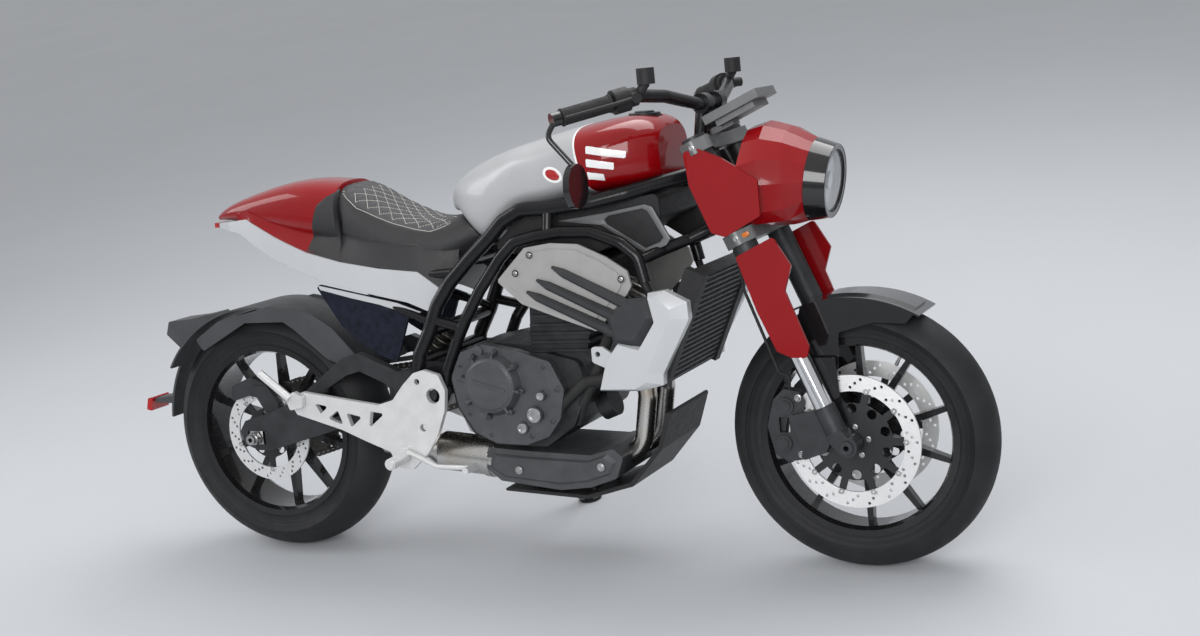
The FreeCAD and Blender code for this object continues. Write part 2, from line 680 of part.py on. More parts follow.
def cylinder_fins():
    """Ribs round the cylinders, a stack of thin plates."""
    shapes = []
    for k in range(6):
        z = 520 + 20 * k
        x = 800 + (z - 500) * 0.16
        rib = box(x - 4, x + 152, -136, 136, z, z + 6)
        shapes.append(rib.cut(box(x + 6, x + 140, -127, 127, z - 1, z + 7)))
    return across(shapes)


CLUTCH_CENTRE = V(718, 0, 455)
CLUTCH_R = 76.0
CLUTCH_LUGS = 8


def right_cover():
    """Right engine cover: ribbed clutch lid with a flat disc and bar, bolt lugs, plugs and the water pump."""
    base = plate([(610, 470), (622, 400), (660, 340), (712, 314), (790, 310), (850, 330), (884, 372), (900, 440),
                  (870, 505), (790, 530), (700, 548), (640, 530)], -176, -CASE_HALF, 16)
    c = CLUTCH_CENTRE
    lid = Part.makeCone(CLUTCH_R, CLUTCH_R - 12, 22, c - Y_AXIS * 174, Y_AXIS * -1)
    step = Part.makeCone(CLUTCH_R - 14, CLUTCH_R - 20, 5, c - Y_AXIS * 195, Y_AXIS * -1)
    bar = box(c.x - 44, c.x + 44, -202.5, -196, c.z - 3, c.z + 3)
    bar.rotate(c, Y_AXIS, 16)
    shapes = [base, lid, step, bar]
    for spot in ring_of(CLUTCH_LUGS, CLUTCH_R + 2, 12):
        shapes.append(Part.makeCylinder(7, 14, c + spot - Y_AXIS * 174, Y_AXIS * -1))
    for k in range(CLUTCH_LUGS):
        turn = 12 + 360.0 / CLUTCH_LUGS * k
        rib = box(-3, 3, -196, -176, CLUTCH_R - 20, CLUTCH_R + 2)
        rib.rotate(V(0, 0, 0), Y_AXIS, turn)
        rib.translate(c)
        shapes.append(rib)
    shapes.append(Part.makeCylinder(19, 18, V(825, -174, 384), Y_AXIS * -1))
    shapes.append(Part.makeCylinder(14, 12, V(788, -174, 352), Y_AXIS * -1))
    shapes.append(Part.makeCylinder(11, 16, V(845, -174, 428), Y_AXIS * -1))
    shapes.append(Part.makeCylinder(12, 22, V(690, -160, 534), Y_AXIS * -1))
    return joined(shapes)


def left_cover():
    """Left engine cover over the generator."""
    base = plate([(700, 470), (720, 360), (770, 318), (850, 320), (905, 380), (915, 450), (870, 505), (760, 510)],
                 CASE_HALF, 172, 20)
    c = V(810, 0, 415)
    lid = Part.makeCone(CLUTCH_R - 4, CLUTCH_R - 14, 22, c + Y_AXIS * 170, Y_AXIS)
    shapes = [base, lid]
    for k in range(6):
        turn = math.radians(60 * k + 12)
        spot = c + V(math.sin(turn), 0, math.cos(turn)) * (CLUTCH_R - 1) + Y_AXIS * 170
        shapes.append(Part.makeCylinder(7, 14, spot, Y_AXIS))
    shapes.append(plate([(606, 492), (606, 400), (640, 372), (724, 380), (716, 500), (650, 512)], CASE_HALF, 165, 14))
    return joined(shapes)


# Bodywork
TANK_STATIONS = [(596, 845, 900, 52), (650, 796, 945, 92), (700, 772, 966, 116), (767, 815, 986, 136),
                 (850, 846, 1004, 150), (950, 864, 1024, 158), (1050, 874, 1037, 152), (1110, 884, 1034, 128),
                 (1148, 896, 1010, 86)]
SEAM_TOP = (958, 1060)
SEAM_LOW = (1000, 845)


def airbox():
    """Closed black box between the frame tubes below the tank."""
    outline = [(720, 758), (790, 822), (860, 842), (1000, 846), (1150, 868), (1150, 812), (1060, 770), (990, 742),
               (850, 742)]
    body = plate(outline, -120, 120, 14)
    return body.cut([frame(), tank_whole()])


def tank_whole():
    body = hull(TANK_STATIONS, 2.9)
    return body


def seam_half(front):
    """Half space ahead of or behind the slanting seam between the two tank colours."""
    x_far = 1500 if front else 300
    outline = [SEAM_TOP, (x_far, 1060), (x_far, 700), (SEAM_LOW[0] + 28, 700)]
    points = [V(x, -400, z) for x, z in outline]
    return Part.Face(Part.makePolygon(points + [points[0]])).extrude(V(0, 800, 0))


def frame_groove():
    """Room for the upper frame tubes beside and below the tank."""
    shapes = []
    for side in (1, -1):
        points = [V(1245, side * 16, 905), V(1150, side * 84, 888), V(1075, side * 136, 872)]
        points += [V(x, side * TUBE_Y, z) for x, z in UPPER_TUBE[:8]]
        shapes.append(pipe(points, TUBE_R + SEAT_GAP, 45))
    shapes.append(rod(V(1030, -TUBE_Y, 864), V(1030, TUBE_Y, 864), TUBE_R - 3))
    shapes.append(rod(V(680, -TUBE_Y, 746), V(680, TUBE_Y, 746), TUBE_R - 3))
    return shapes


def tank_rear():
    """Silver rear part of the fuel tank."""
    return tank_whole().common(seam_half(False)).cut(frame_groove())


def tank_front():
    """Red front part of the fuel tank with the filler recess."""
    shape = tank_whole().common(seam_half(True)).cut(frame_groove())
    recess = Part.makeCylinder(42, 30, V(1085, 0, 1031), V(0.03, 0, 1))
    return shape.cut(recess)


def filler_cap():
    """Filler cap in the tank's recess."""
    cap = Part.makeCylinder(36, 9, V(1085, 0, 1031), V(0.03, 0, 1))
    lip = Part.makeCylinder(22, 7, V(1085.2, 0, 1037), V(0.03, 0, 1))
    return joined([cap, lip])


SEAT_STATIONS = [(292, 765, 932, 96), (330, 758, 925, 106), (388, 738, 886, 118), (450, 726, 850, 124),
                 (523, 716, 829, 122), (590, 724, 834, 108), (650, 752, 846, 92), (688, 775, 850, 80)]


def seat():
    """Solo seat with a rear hump, its front nose over the tank's tail."""
    body = hull(SEAT_STATIONS, 3.0)
    return body.cut([tank_whole()] + frame_groove() + [subframe(), frame()])


COWL_STATIONS = [(291, 775, 936, 104), (220, 792, 943, 108), (120, 815, 940, 100), (30, 838, 922, 84),
                 (-50, 852, 900, 62), (-108, 856, 872, 34)]


def tail_cowl():
    """Red tail cowl behind the seat."""
    body = hull(COWL_STATIONS, 2.7)
    return body.cut([tail_band(), subframe()])


BAND_SIDE = [(-118, 838), (-112, 850), (14, 860), (106, 814), (204, 773), (302, 747), (414, 728), (524, 717),
             (582, 676), (545, 622), (487, 645), (405, 662), (322, 681), (238, 703), (182, 725), (98, 757), (28, 797),
             (-19, 824)]
BAND_HALF_PLAN = [(640, 140), (480, 134), (330, 126), (150, 112), (30, 90), (-60, 60), (-120, 24)]


@lru_cache(maxsize=None)
def tail_band():
    """Light band under the seat and cowl, wrapped round the tail."""
    side = plate(BAND_SIDE, -160, 160, 6)
    plan = slab(mirrored_outline(BAND_HALF_PLAN), 500, 950, 20)
    shape = side.common(plan)
    core_half = [(x, y - 5) for x, y in BAND_HALF_PLAN[:-1]]
    core_half = [(x + 30 if x < 0 else x, y) for x, y in core_half]
    core = slab(mirrored_outline(core_half), 560, 1000, 18)
    return shape.cut(core)


def under_panels():
    """Dark side panels below the band."""
    outline = [(228, 686), (235, 694), (330, 672), (451, 645), (518, 620), (478, 606), (455, 550), (432, 498), (392, 514),
               (332, 550), (287, 591)]
    panel = plate(outline, -123, -116, 6)
    return across(both_sides(panel.cut(subframe())))


COVER_Y = LOOP_Y + 14.0


def side_covers():
    """Satin plates over the cylinder heads, bolted to the frame loops."""
    outline = [(841, 768), (905, 776), (974, 771), (1040, 740), (1089, 707), (1096, 673), (1084, 656), (1002, 574),
               (918, 604), (821, 641), (763, 695)]
    outer = plate(outline, -COVER_Y - 7, -COVER_Y, 8)
    inset = plate([(x * 0.86 + 930 * 0.14, z * 0.86 + 685 * 0.14) for x, z in outline], -COVER_Y - 10, -COVER_Y - 6, 8)
    shapes = [outer, inset]
    for x, z in ((855, 752), (815, 712), (1075, 690)):
        shapes.append(Part.makeCylinder(9, 12, V(x, -COVER_Y - 12, z), Y_AXIS))
    return across(both_sides(joined(shapes)))


def prong(tip, root):
    """One tapered six-sided prong of the scoop, from its tip to its root."""
    start = V(tip[0], 0, tip[1])
    end = V(root[0], 0, root[1])
    along = end - start
    along.normalize()
    up = V(-along.z, 0, along.x)
    wires = []
    for place, half, deep in ((start, 3, 6), (start + along * 30, 9, 14), (end, 12, 18)):
        low = -COVER_Y - 10
        ring = [place + up * half + V(0, low, 0), place + up * half + V(0, low - deep * 0.6, 0),
                place + up * (half * 0.4) + V(0, low - deep, 0), place - up * (half * 0.4) + V(0, low - deep, 0),
                place - up * half + V(0, low - deep * 0.6, 0), place - up * half + V(0, low, 0)]
        wires.append(Part.makePolygon(ring + [ring[0]]))
    return Part.makeLoft(wires, True, True)


def side_scoops():
    """Three-pronged scoops ahead of the side covers."""
    outline = [(1078, 646), (1138, 650), (1154, 604), (1108, 541), (1046, 546), (1034, 604)]
    face = [(1086, 636), (1124, 638), (1134, 604), (1100, 556), (1056, 560), (1046, 604)]
    shapes = [plate(outline, -COVER_Y - 18, -COVER_Y - 7, 0.5),
              faceted(outline, -COVER_Y - 18, face, -COVER_Y - 30)]
    for tip, root in (((909, 723), (1085, 634)), ((868, 695), (1066, 602)), ((840, 669), (1064, 566))):
        shapes.append(prong(tip, root))
    return across(both_sides(joined(shapes).cut(radiator_shrouds())))


RAD_LOW = V(1128, 0, 455)
RAD_HIGH = V(1238, 0, 690)
RAD_HALF = 168.0
SHROUD_HOLE_R = 6.0
SHROUD_WALL = 190.0
SHROUD_FACE = 206.0


@lru_cache(maxsize=None)
def radiator_shrouds():
    """Pale shrouds beside the radiator, with a slanted facet along their front edge."""
    outline = [(1135, 657), (1174, 662), (1225, 635), (1226, 597), (1155, 477), (1153, 452), (1099, 439), (1000, 440),
               (1022, 512), (1056, 552), (1106, 541), (1152, 603)]
    face = [(1140, 648), (1163, 648), (1188, 622), (1186, 600), (1122, 482), (1120, 462), (1090, 446), (1006, 446),
            (1027, 510), (1058, 547), (1107, 533), (1150, 594)]
    wall = plate(outline, -SHROUD_WALL, -RAD_HALF, 0.5)
    facet = faceted(outline, -SHROUD_WALL, face, -SHROUD_FACE)
    middle = (1095, 520)
    hollow = [(x * 0.86 + middle[0] * 0.14, z * 0.86 + middle[1] * 0.14) for x, z in face]
    shell = joined([wall, facet]).cut(plate(hollow, -SHROUD_FACE + 7, -RAD_HALF + 1, 4))
    lug = plate([(985, 505), (985, 540), (1012, 540), (1040, 520), (1020, 490)], -SHROUD_WALL, -SHROUD_WALL + 9, 8,
                [(1000, 523, SHROUD_HOLE_R)])
    return across(both_sides(joined([shell, lug])))


def radiator():
    """Radiator with its end tanks, filler neck and lower hose stubs."""
    along = RAD_HIGH - RAD_LOW
    length = along.Length
    along.normalize()
    core = box(-18, 18, -RAD_HALF + 26, RAD_HALF - 26, 0, length)
    ends = [box(-24, 24, side * RAD_HALF - (30 if side > 0 else 0), side * RAD_HALF + (0 if side > 0 else 30),
                -6, length + 6) for side in (1, -1)]
    shape = joined([core] + ends)
    tilt = math.degrees(math.atan2(along.x, along.z))
    shape.rotate(V(0, 0, 0), Y_AXIS, tilt)
    shape.translate(RAD_LOW)
    stays = []
    for side in (1, -1):
        stays.append(rod(V(1160, side * 150, 560), V(1112, side * LOOP_Y, 690), 9))
    return main_solid(joined([shape] + stays).cut(frame()))


HOSE_R = 13.0


def coolant_hoses():
    """Two bent hoses from the water pump and the crankcase up to the radiator's right end tank."""
    routes = [[V(858, -140, 318), V(858, -158, 345), V(880, -160, 400), V(948, -158, 455), V(1090, -158, 470),
               V(1128, -158, 490)],
              [V(900, -120, 352), V(925, -138, 400), V(975, -140, 480), V(1010, -140, 560), V(1100, -150, 590),
               V(1150, -150, 600)]]
    hoses = [pipe(route, HOSE_R, 40) for route in routes]
    around = [engine_block(), right_cover(), radiator(), radiator_shrouds()]
    return across([main_solid(hose.cut(around)) for hose in hoses])


def header_pipes():
    """Two header pipes from the cylinder head down and under the engine."""
    shapes = []
    for side in (1, -1):
        y = side * 55
        pipe_run = pipe([V(960, y, 640), V(1040, y, 600), V(1052, y, 400), V(1030, y, 280), V(950, y * 0.8, 240),
                         V(880, y * 0.6, 240)], 22, 55)
        flange = Part.makeCylinder(32, 12, V(974, y, 634), V(0.9, 0, -0.42))
        shapes.append(joined([pipe_run, flange]).cut([engine_block(), silencer()]))
    return across(shapes)


SILENCER_BOLTS = [(742, 240), (955, 250)]


@lru_cache(maxsize=None)
def silencer():
    """Box under the engine that gathers the header pipes, with a stepped rim and bolt bosses."""
    outline = [(656, 280), (671, 292), (776, 284), (929, 276), (985, 292), (1010, 270), (990, 222), (923, 200),
               (845, 192), (689, 212), (650, 245)]
    body = plate(outline, -132, 96, 10)
    rim_outline = [(664, 262), (676, 280), (778, 272), (925, 264), (972, 280), (996, 262), (978, 232), (918, 212),
                   (846, 204), (696, 222), (662, 246)]
    lid = faceted(rim_outline, -131, [(x * 0.93 + 830 * 0.07, z * 0.8 + 242 * 0.2) for x, z in rim_outline], -138)
    bosses = [Part.makeCylinder(11, 10, V(x, -130, z), Y_AXIS * -1) for x, z in SILENCER_BOLTS]
    return joined([body, lid] + bosses)


def exhaust_can():
    """Round can behind the box and its outlet pipe."""
    start = V(668, -86, 258)
    along = V(-1, 0, 0.10)
    along.normalize()
    can = Part.makeCylinder(47, 150, start, along)
    ring = Part.makeCylinder(50, 16, start + along * 12, along)
    cone = Part.makeCone(47, 26, 40, start + along * 149, along)
    outlet = Part.makeCylinder(24, 130, start + along * 185, along)
    bore = Part.makeCylinder(20, 90, start + along * 230, along)
    return joined([can, ring, cone, outlet]).cut([bore, silencer()])


def belly_guard():
    """Black guard that curves up in front of the header pipes."""
    shape = plate([(1132, 372), (1102, 288), (1022, 200), (905, 168), (690, 184), (690, 191), (903, 177),
                   (1016, 209), (1093, 293), (1122, 375)], -118, 118, 6)
    spacers = [rod(V(x, y, z), V(x, y, 212), 8) for x, z in ((760, 182), (900, 172)) for y in (-70, 55)]
    return joined([shape] + spacers).cut(silencer())


@lru_cache(maxsize=None)
def footrest_plates():
    """Cast plates that carry the pegs, with their three-cornered windows."""
    outline = [(512, 484), (540, 491), (579, 479), (594, 441), (587, 393), (560, 332), (528, 288), (481, 249),
               (440, 256), (425, 293), (363, 317), (295, 346), (169, 384), (153, 411), (189, 440), (403, 407),
               (447, 419), (480, 456)]
    casting = plate(outline, -186, -172, 9, [(520, 463, 7), (560, 429, 18), (524, 352, 9), (470, 285, 8)])
    windows = [[(222, 412), (262, 404), (238, 386)], [(258, 374), (288, 395), (300, 358)],
               [(312, 388), (356, 378), (322, 352)], [(382, 392), (420, 386), (372, 350)]]
    for window in windows:
        casting = casting.cut(plate(window, -190, -168, 4))
    boss = Part.makeCylinder(16, 30, V(545, -174, 455), Y_AXIS)
    pivot = rod(V(PIVOT.x, -PIVOT_HALF - 2, PIVOT.z), V(PIVOT.x, 0, PIVOT.z), PIVOT_R + SEAT_GAP)
    return across(both_sides(joined([casting, boss.cut([frame(), pivot])])))


def pegs():
    """Front pegs, brake and gear pedals, and the folded rear pegs."""
    shapes = []
    for side in (1, -1):
        front = pipe([V(470, side * 180, 285), V(470, side * 268, 282)], 11, 10)
        grip = rod(V(470, side * 198, 284.3), V(470, side * 264, 282.1), 14)
        rear_knuckle = plate([(160, 398), (150, 432), (176, 444), (200, 432), (196, 404)],
                             188 if side > 0 else -202, 202 if side > 0 else -188, 6)
        rear_knuckle = rear_knuckle.fuse(rod(V(178, side * 185, 420), V(178, side * 200, 420), 9))
        rear_peg = rod(V(166, side * 204, 428), V(86, side * 204, 492), 10)
        shapes.append(joined([front, grip]))
        shapes.append(joined([rear_knuckle, rear_peg]))
        lever = joined([
            pipe([V(468, side * 193, 300), V(560, side * 200, 262), V(660, side * 205, 262)], 6, 20),
            rod(V(655, side * 190, 262), V(655, side * 238, 262), 8),
            rod(V(468, side * 184, 300), V(468, side * 200, 300), 10)])
        shapes.append(lever)
    return across([shape.cut(footrest_plates()) for shape in shapes])


# Swingarm and rear end
@lru_cache(maxsize=None)
def swingarm():
    """Braced arm each side from the pivot to the axle."""
    outline = [(-48, 330), (-40, 296), (0, 280), (40, 280), (212, 325), (430, 385), (545, 385), (560, 430),
               (520, 470), (440, 478), (330, 524), (283, 512), (134, 410), (37, 372), (-30, 356)]
    shapes = []
    for side in (1, -1):
        low = SWINGARM_INNER if side > 0 else -SWINGARM_INNER - SWINGARM_WALL
        high = low + SWINGARM_WALL
        arm = plate(outline, low, high, 10)
        window = plate([(180, 410), (290, 470), (330, 480), (420, 440), (430, 415), (250, 365), (170, 350)],
                       low - 1, high + 1, 14)
        slot = box(-AXLE_SLOT_HALF, AXLE_SLOT_HALF, low - 1, high + 1, REAR_AXLE_Z - AXLE_BLOCK_H / 2,
                   REAR_AXLE_Z + AXLE_BLOCK_H / 2)
        shapes.append(arm.cut([window, slot]))
    shapes.append(rod(V(PIVOT.x, -PIVOT_HALF, PIVOT.z), V(PIVOT.x, PIVOT_HALF, PIVOT.z), PIVOT_R))
    bridge = box(395, 450, -SWINGARM_INNER - 1, SWINGARM_INNER + 1, 400, 462)
    shapes.append(bridge.cut(box(394, 451, CHAIN_Y - CHAIN_ROOM_HALF, SWINGARM_INNER, 440, 463)))
    return joined(shapes).cut(frame())


def axle_blocks():
    """Blocks that hold the rear axle in the swing arm's slots."""
    blocks = []
    for side in (1, -1):
        low = SWINGARM_INNER if side > 0 else -SWINGARM_INNER - SWINGARM_WALL
        block = box(-AXLE_BLOCK_HALF, AXLE_BLOCK_HALF, low, low + SWINGARM_WALL, REAR_AXLE_Z - AXLE_BLOCK_H / 2,
                    REAR_AXLE_Z + AXLE_BLOCK_H / 2)
        bore = Part.makeCylinder(REAR_AXLE_R + SEAT_GAP, SWINGARM_WALL + 2, V(0, low - 1, REAR_AXLE_Z), Y_AXIS)
        blocks.append(block.cut(bore))
    return across(blocks)


def rear_shock():
    """Damper with its coil spring between two seats."""
    start = V(425, 0, 470)
    end = V(540, 0, 572)
    along = end - start
    length = along.Length
    along.normalize()
    seat_h = 5.0
    low_seat = start + along * 14
    coil_length = length - 14 - 22 - 2 * seat_h
    damper = rod(start, end, 17)
    seats = [Part.makeCylinder(35, seat_h, low_seat, along),
             Part.makeCylinder(35, seat_h, low_seat + along * (seat_h + coil_length), along)]
    wire_r = 5.0
    helix = Part.makeHelix((coil_length - 2 * wire_r + 4) / 5, coil_length - 2 * wire_r + 4, 28)
    ring = Part.Wire([Part.makeCircle(wire_r, V(28, 0, 0), Y_AXIS)])
    coil = Part.Wire(helix).makePipeShell([ring], True, True)
    turn = FreeCAD.Rotation(Z_AXIS, along)
    coil.Placement = FreeCAD.Placement(low_seat + along * (seat_h + wire_r - 2), turn)
    return joined([damper] + seats + [coil]).cut([frame(), swingarm()])


@lru_cache(maxsize=None)
def hugger():
    """Guard over the back of the rear tyre with its arm to the swingarm."""
    centre = V(0, 0, REAR_AXLE_Z)
    inner, outer = REAR_RADIUS + 10, REAR_RADIUS + 15
    ring = Part.makeCylinder(outer, 200, centre - Y_AXIS * 100, Y_AXIS)
    ring = ring.cut(Part.makeCylinder(inner, 202, centre - Y_AXIS * 101, Y_AXIS))
    wedge_points = [V(0, -101, REAR_AXLE_Z), V(-360, -101, REAR_AXLE_Z + 230), V(-300, -101, 800), V(200, -101, 800),
                    V(420, -101, REAR_AXLE_Z + 233)]
    wedge = Part.Face(Part.makePolygon(wedge_points + [wedge_points[0]])).extrude(V(0, 202, 0))
    band = ring.common(wedge)
    cheeks = []
    for side in (1, -1):
        low, high = (95, 100) if side > 0 else (-100, -95)
        cheek = plate([(-180, 560), (-100, 607), (60, 640), (190, 615), (242, 580), (330, 480), (300, 470),
                       (216, 505), (128, 580), (97, 600), (-20, 600), (-160, 530)], low, high, 8)
        cheeks.append(cheek)
    stay = []
    for side in (1, -1):
        stay.append(rod(V(315, side * 97, 490), V(315, side * 116, 490), 8))
    return joined([band] + cheeks + stay)


def rear_guards():
    """Rear tyre guard and chain guard on the swingarm."""
    return across([hugger(), chain_guard()]).cut(swingarm())


def rear_caliper():
    """Rear brake caliper over the disc."""
    c = V(-26, 0, 425)
    body = plate([(-88, 398), (-80, 440), (-20, 462), (30, 440), (28, 402), (-30, 414)], -106, -66, 8)
    slot = Part.makeCylinder(REAR_DISC_R + 8, 19, REAR_AXLE + V(0, REAR_DISC_Y - 9.5, 0), Y_AXIS)
    bracket = plate([(-20, 440), (30, 440), (60, 400), (60, 360), (20, 370)], -112, -98, 6)
    return joined([body.cut(slot), bracket.cut(slot)])


@lru_cache(maxsize=None)
def plate_holder():
    """Bracket on the end of the rear tyre guard: a curved strap, two housings and the blank plate."""
    centre = REAR_AXLE
    inner = REAR_RADIUS + 15
    width = 2 * STRAP_HALF
    ring = Part.makeCylinder(inner + 6, width, centre - Y_AXIS * STRAP_HALF, Y_AXIS)
    ring = ring.cut(Part.makeCylinder(inner, width + 2, centre - Y_AXIS * (STRAP_HALF + 1), Y_AXIS))
    far = 700
    edges = [math.radians(turn) for turn in (27, 60, 84)]
    corners = [V(0, 0, 0)] + [V(-math.sin(turn), 0, math.cos(turn)) * far for turn in edges]
    points = [centre + corner - Y_AXIS * (STRAP_HALF + 1) for corner in corners]
    wedge = Part.Face(Part.makePolygon(points + [points[0]])).extrude(V(0, width + 2, 0))
    strap = ring.common(wedge)
    upper = [(-168, 604), (-176, 616), (-232, 606), (-306, 600), (-318, 566), (-268, 520), (-236, 542)]
    upper_box = plate(upper, -44, 44, 5)
    lower = [(-292, 486), (-346, 500), (-386, 440), (-378, 424), (-320, 430), (-306, 456)]
    lower_box = plate(lower, -36, 36, 5)
    foot = plate([(-318, 400), (-400, 392), (-404, 380), (-322, 376)], -26, 26, 3)
    tyre_room = Part.makeCylinder(inner, 400, centre - Y_AXIS * 200, Y_AXIS)
    body = joined([strap, upper_box, lower_box, foot])
    return main_solid(body.cut([tyre_room, hugger()]))


STRAP_HALF = 52.0


def plate_lamp():
    """Red lamp below the plate on its bracket."""
    return plate([(-404, 396), (-420, 392), (-428, 362), (-410, 358)], -34, 34, 3)


def tail_lamp():
    """Red lamp at the end of the tail."""
    return box(-131, -118, -24, 24, 838, 850)


def rear_lamps():
    """Tail lamp and the red lamp on the plate's bracket."""
    return across([tail_lamp(), plate_lamp().cut(plate_holder())])


# Steering
@lru_cache(maxsize=None)
def fork_tubes():
    """Upside-down fork: dark outer tubes clamped at the top."""
    shapes = []
    for side in (1, -1):
        shapes.append(rod(fork_point(FORK_OFFSET, side * LEG_Y, 235),
                          fork_point(FORK_OFFSET, side * LEG_Y, TOP_CLAMP_S + CLAMP_H / 2 + 8), OUTER_LEG_R))
    return across(shapes)


def fork_sliders():
    """Chrome inner tubes."""
    shapes = []
    for side in (1, -1):
        shapes.append(rod(fork_point(FORK_OFFSET, side * LEG_Y, 60), fork_point(FORK_OFFSET, side * LEG_Y, 234.7),
                          CHROME_R))
    return across(shapes)


FOOT_SLEEVE_R = 24.0
CALIPER_CAP = 5.0


@lru_cache(maxsize=None)
def fork_feet():
    """Castings at the foot of each leg that hold the axle and the caliper."""
    shapes = []
    for side in (1, -1):
        low, high = (89, 136) if side > 0 else (-136, -89)
        sleeve = rod(fork_point(FORK_OFFSET, side * LEG_Y, 10), fork_point(FORK_OFFSET, side * LEG_Y, 100),
                     FOOT_SLEEVE_R)
        axle_eye = Part.makeCylinder(23, high - low, V(FRONT_AXLE.x, low, FRONT_AXLE.z), Y_AXIS)
        arm_points = [fork_point(FORK_OFFSET - 22, 0, 40), fork_point(FORK_OFFSET + 20, 0, 40),
                      fork_point(FORK_OFFSET + AXLE_AHEAD + 18, 0, -10),
                      fork_point(FORK_OFFSET + AXLE_AHEAD - 20, 0, -12)]
        arm = plate([(p.x, p.z) for p in arm_points], low, high, 8)
        mount = [fork_point(-74, 0, 110), fork_point(0, 0, 96), fork_point(0, 0, 30), fork_point(-30, 0, 4),
                 fork_point(-92, 0, 8), fork_point(-78, 0, 30)]
        ear = plate([(p.x, p.z) for p in mount], low + (0 if side > 0 else 33), high - (33 if side > 0 else 0), 8)
        leg = joined([sleeve, axle_eye, arm, ear])
        tube = rod(fork_point(FORK_OFFSET, side * LEG_Y, 60), fork_point(FORK_OFFSET, side * LEG_Y, 240), CHROME_R)
        hole = Part.makeCylinder(FRONT_AXLE_R, 400, FRONT_AXLE - Y_AXIS * 200, Y_AXIS)
        shapes.append(leg.cut([tube, hole]))
    return across(shapes)


def clamp_plan(half_front, front, back):
    """Outline of a clamp seen along the steering axis."""
    return [(front, 0), (front - 2, 60), (FORK_OFFSET + 38, LEG_Y + 12), (FORK_OFFSET, LEG_Y + 40),
            (FORK_OFFSET - 36, LEG_Y + 16), (back, 50), (back - 6, 0)]


def clamp(up, height, front, back):
    """Fork clamp drawn along the steering axis."""
    half = clamp_plan(0, front, back)
    outline = half + [(x, -y) for x, y in reversed(half[1:-1])]
    body = slab(outline, up - height / 2, up + height / 2, 14)
    for side in (1, -1):
        body = body.cut(Part.makeCylinder(OUTER_LEG_R, height + 2, V(FORK_OFFSET, side * LEG_Y, up - height / 2 - 1)))
    return body


@lru_cache(maxsize=None)
def fork_clamps():
    """Top and lower clamp with the stem between them."""
    top = clamp(TOP_CLAMP_S, CLAMP_H, 34, -34)
    low = clamp(LOWER_CLAMP_S, CLAMP_H, 52, -34)
    stem = Part.makeCylinder(STEM_R, TOP_CLAMP_S - LOWER_CLAMP_S, V(0, 0, LOWER_CLAMP_S))
    nut = Part.makeCylinder(20, 10, V(0, 0, TOP_CLAMP_S + CLAMP_H / 2 - 1))
    return to_fork(joined([top, low, stem, nut]))


def outline_by_fork(points):
    """Pairs of x, z from points given along the steering's own directions."""
    spots = [fork_point(a, 0, u) for a, u in points]
    return [(p.x, p.z) for p in spots]


def upper_fork_covers():
    """Red covers beside the fork between the clamps."""
    outline = [(1228, 954), (1262, 960), (1312, 938), (1346, 916), (1392, 884), (1392, 808), (1310, 766),
               (1278, 776), (1236, 880)]
    shapes = []
    for side in (1, -1):
        low = LEG_Y + OUTER_LEG_R if side > 0 else -LEG_Y - OUTER_LEG_R - 7
        shapes.append(plate(outline, low, low + 7, 8))
    return across(shapes)


def lower_fork_covers():
    """Red covers over the outer tubes below the lower clamp."""
    outline = [(1328, 722), (1415, 762), (1452, 699), (1434, 645), (1478, 523), (1471, 499), (1437, 500),
               (1405, 514), (1367, 602)]
    shapes = []
    for side in (1, -1):
        low = LEG_Y + OUTER_LEG_R if side > 0 else -LEG_Y - OUTER_LEG_R - 7
        shapes.append(plate(outline, low, low + 7, 8))
    return across(shapes)


@lru_cache(maxsize=None)
def fork_covers():
    """Red covers on both legs, above and below the lower clamp."""
    return across(upper_fork_covers().Solids + lower_fork_covers().Solids).cut(fork_clamps())


LAMP_TILT = 9.0
LAMP_AXIS = V(math.cos(math.radians(LAMP_TILT)), 0, -math.sin(math.radians(LAMP_TILT)))
LAMP_UP = V(math.sin(math.radians(LAMP_TILT)), 0, math.cos(math.radians(LAMP_TILT)))
LAMP_BACK = V(1474, 0, 867)
LAMP_R = 91.0
LAMP_FRONT_R = 81.0
LAMP_DEPTH = 44.0
GLASS_R = 69.0

# Sections of the headlamp cowl from the fork forward: x, then y and z of the left half from top to bottom
COWL_RINGS = [
    (1346, [(0, 992), (52, 986), (96, 962), (146, 916), (146, 872), (146, 800), (120, 786), (60, 782), (0, 782)]),
    (1384, [(0, 1001), (54, 994), (92, 968), (126, 926), (130, 872), (124, 812), (98, 786), (54, 776), (0, 775)]),
    (1432, [(0, 986), (50, 979), (84, 956), (104, 920), (110, 870), (102, 816), (80, 788), (46, 775), (0, 772)]),
]


def lamp_ring(distance, radius):
    """Circle across the lamp's own axis."""
    return Part.Wire([Part.makeCircle(radius, LAMP_BACK + LAMP_AXIS * distance, LAMP_AXIS)])


def cowl_section(x, half):
    """Closed section of the cowl across the bike from y, z pairs of its left half, top to bottom."""
    points = [V(x, y, z) for y, z in half] + [V(x, -y, z) for y, z in reversed(half) if y > 0]
    return Part.makePolygon(points + [points[0]])


@lru_cache(maxsize=None)
def headlamp_shell():
    """Red one-piece cowl that reaches from the fork covers to the lamp's ring."""
    wires = [cowl_section(x, half) for x, half in COWL_RINGS]
    nose = []
    for y, z in COWL_RINGS[-1][1]:
        turn = math.atan2(y, z - LAMP_BACK.z)
        side = V(0, math.sin(turn), 0) + LAMP_UP * math.cos(turn)
        nose.append(LAMP_BACK + side * (LAMP_R - 1))
    mirrored = [V(p.x, -p.y, p.z) for p in reversed(nose) if p.y > 1]
    nose = nose + mirrored
    wires.append(Part.makePolygon(nose + [nose[0]]))
    body = Part.makeLoft(wires, True, True)
    return main_solid(body.cut([fork_tubes(), fork_clamps(), fork_covers()]))


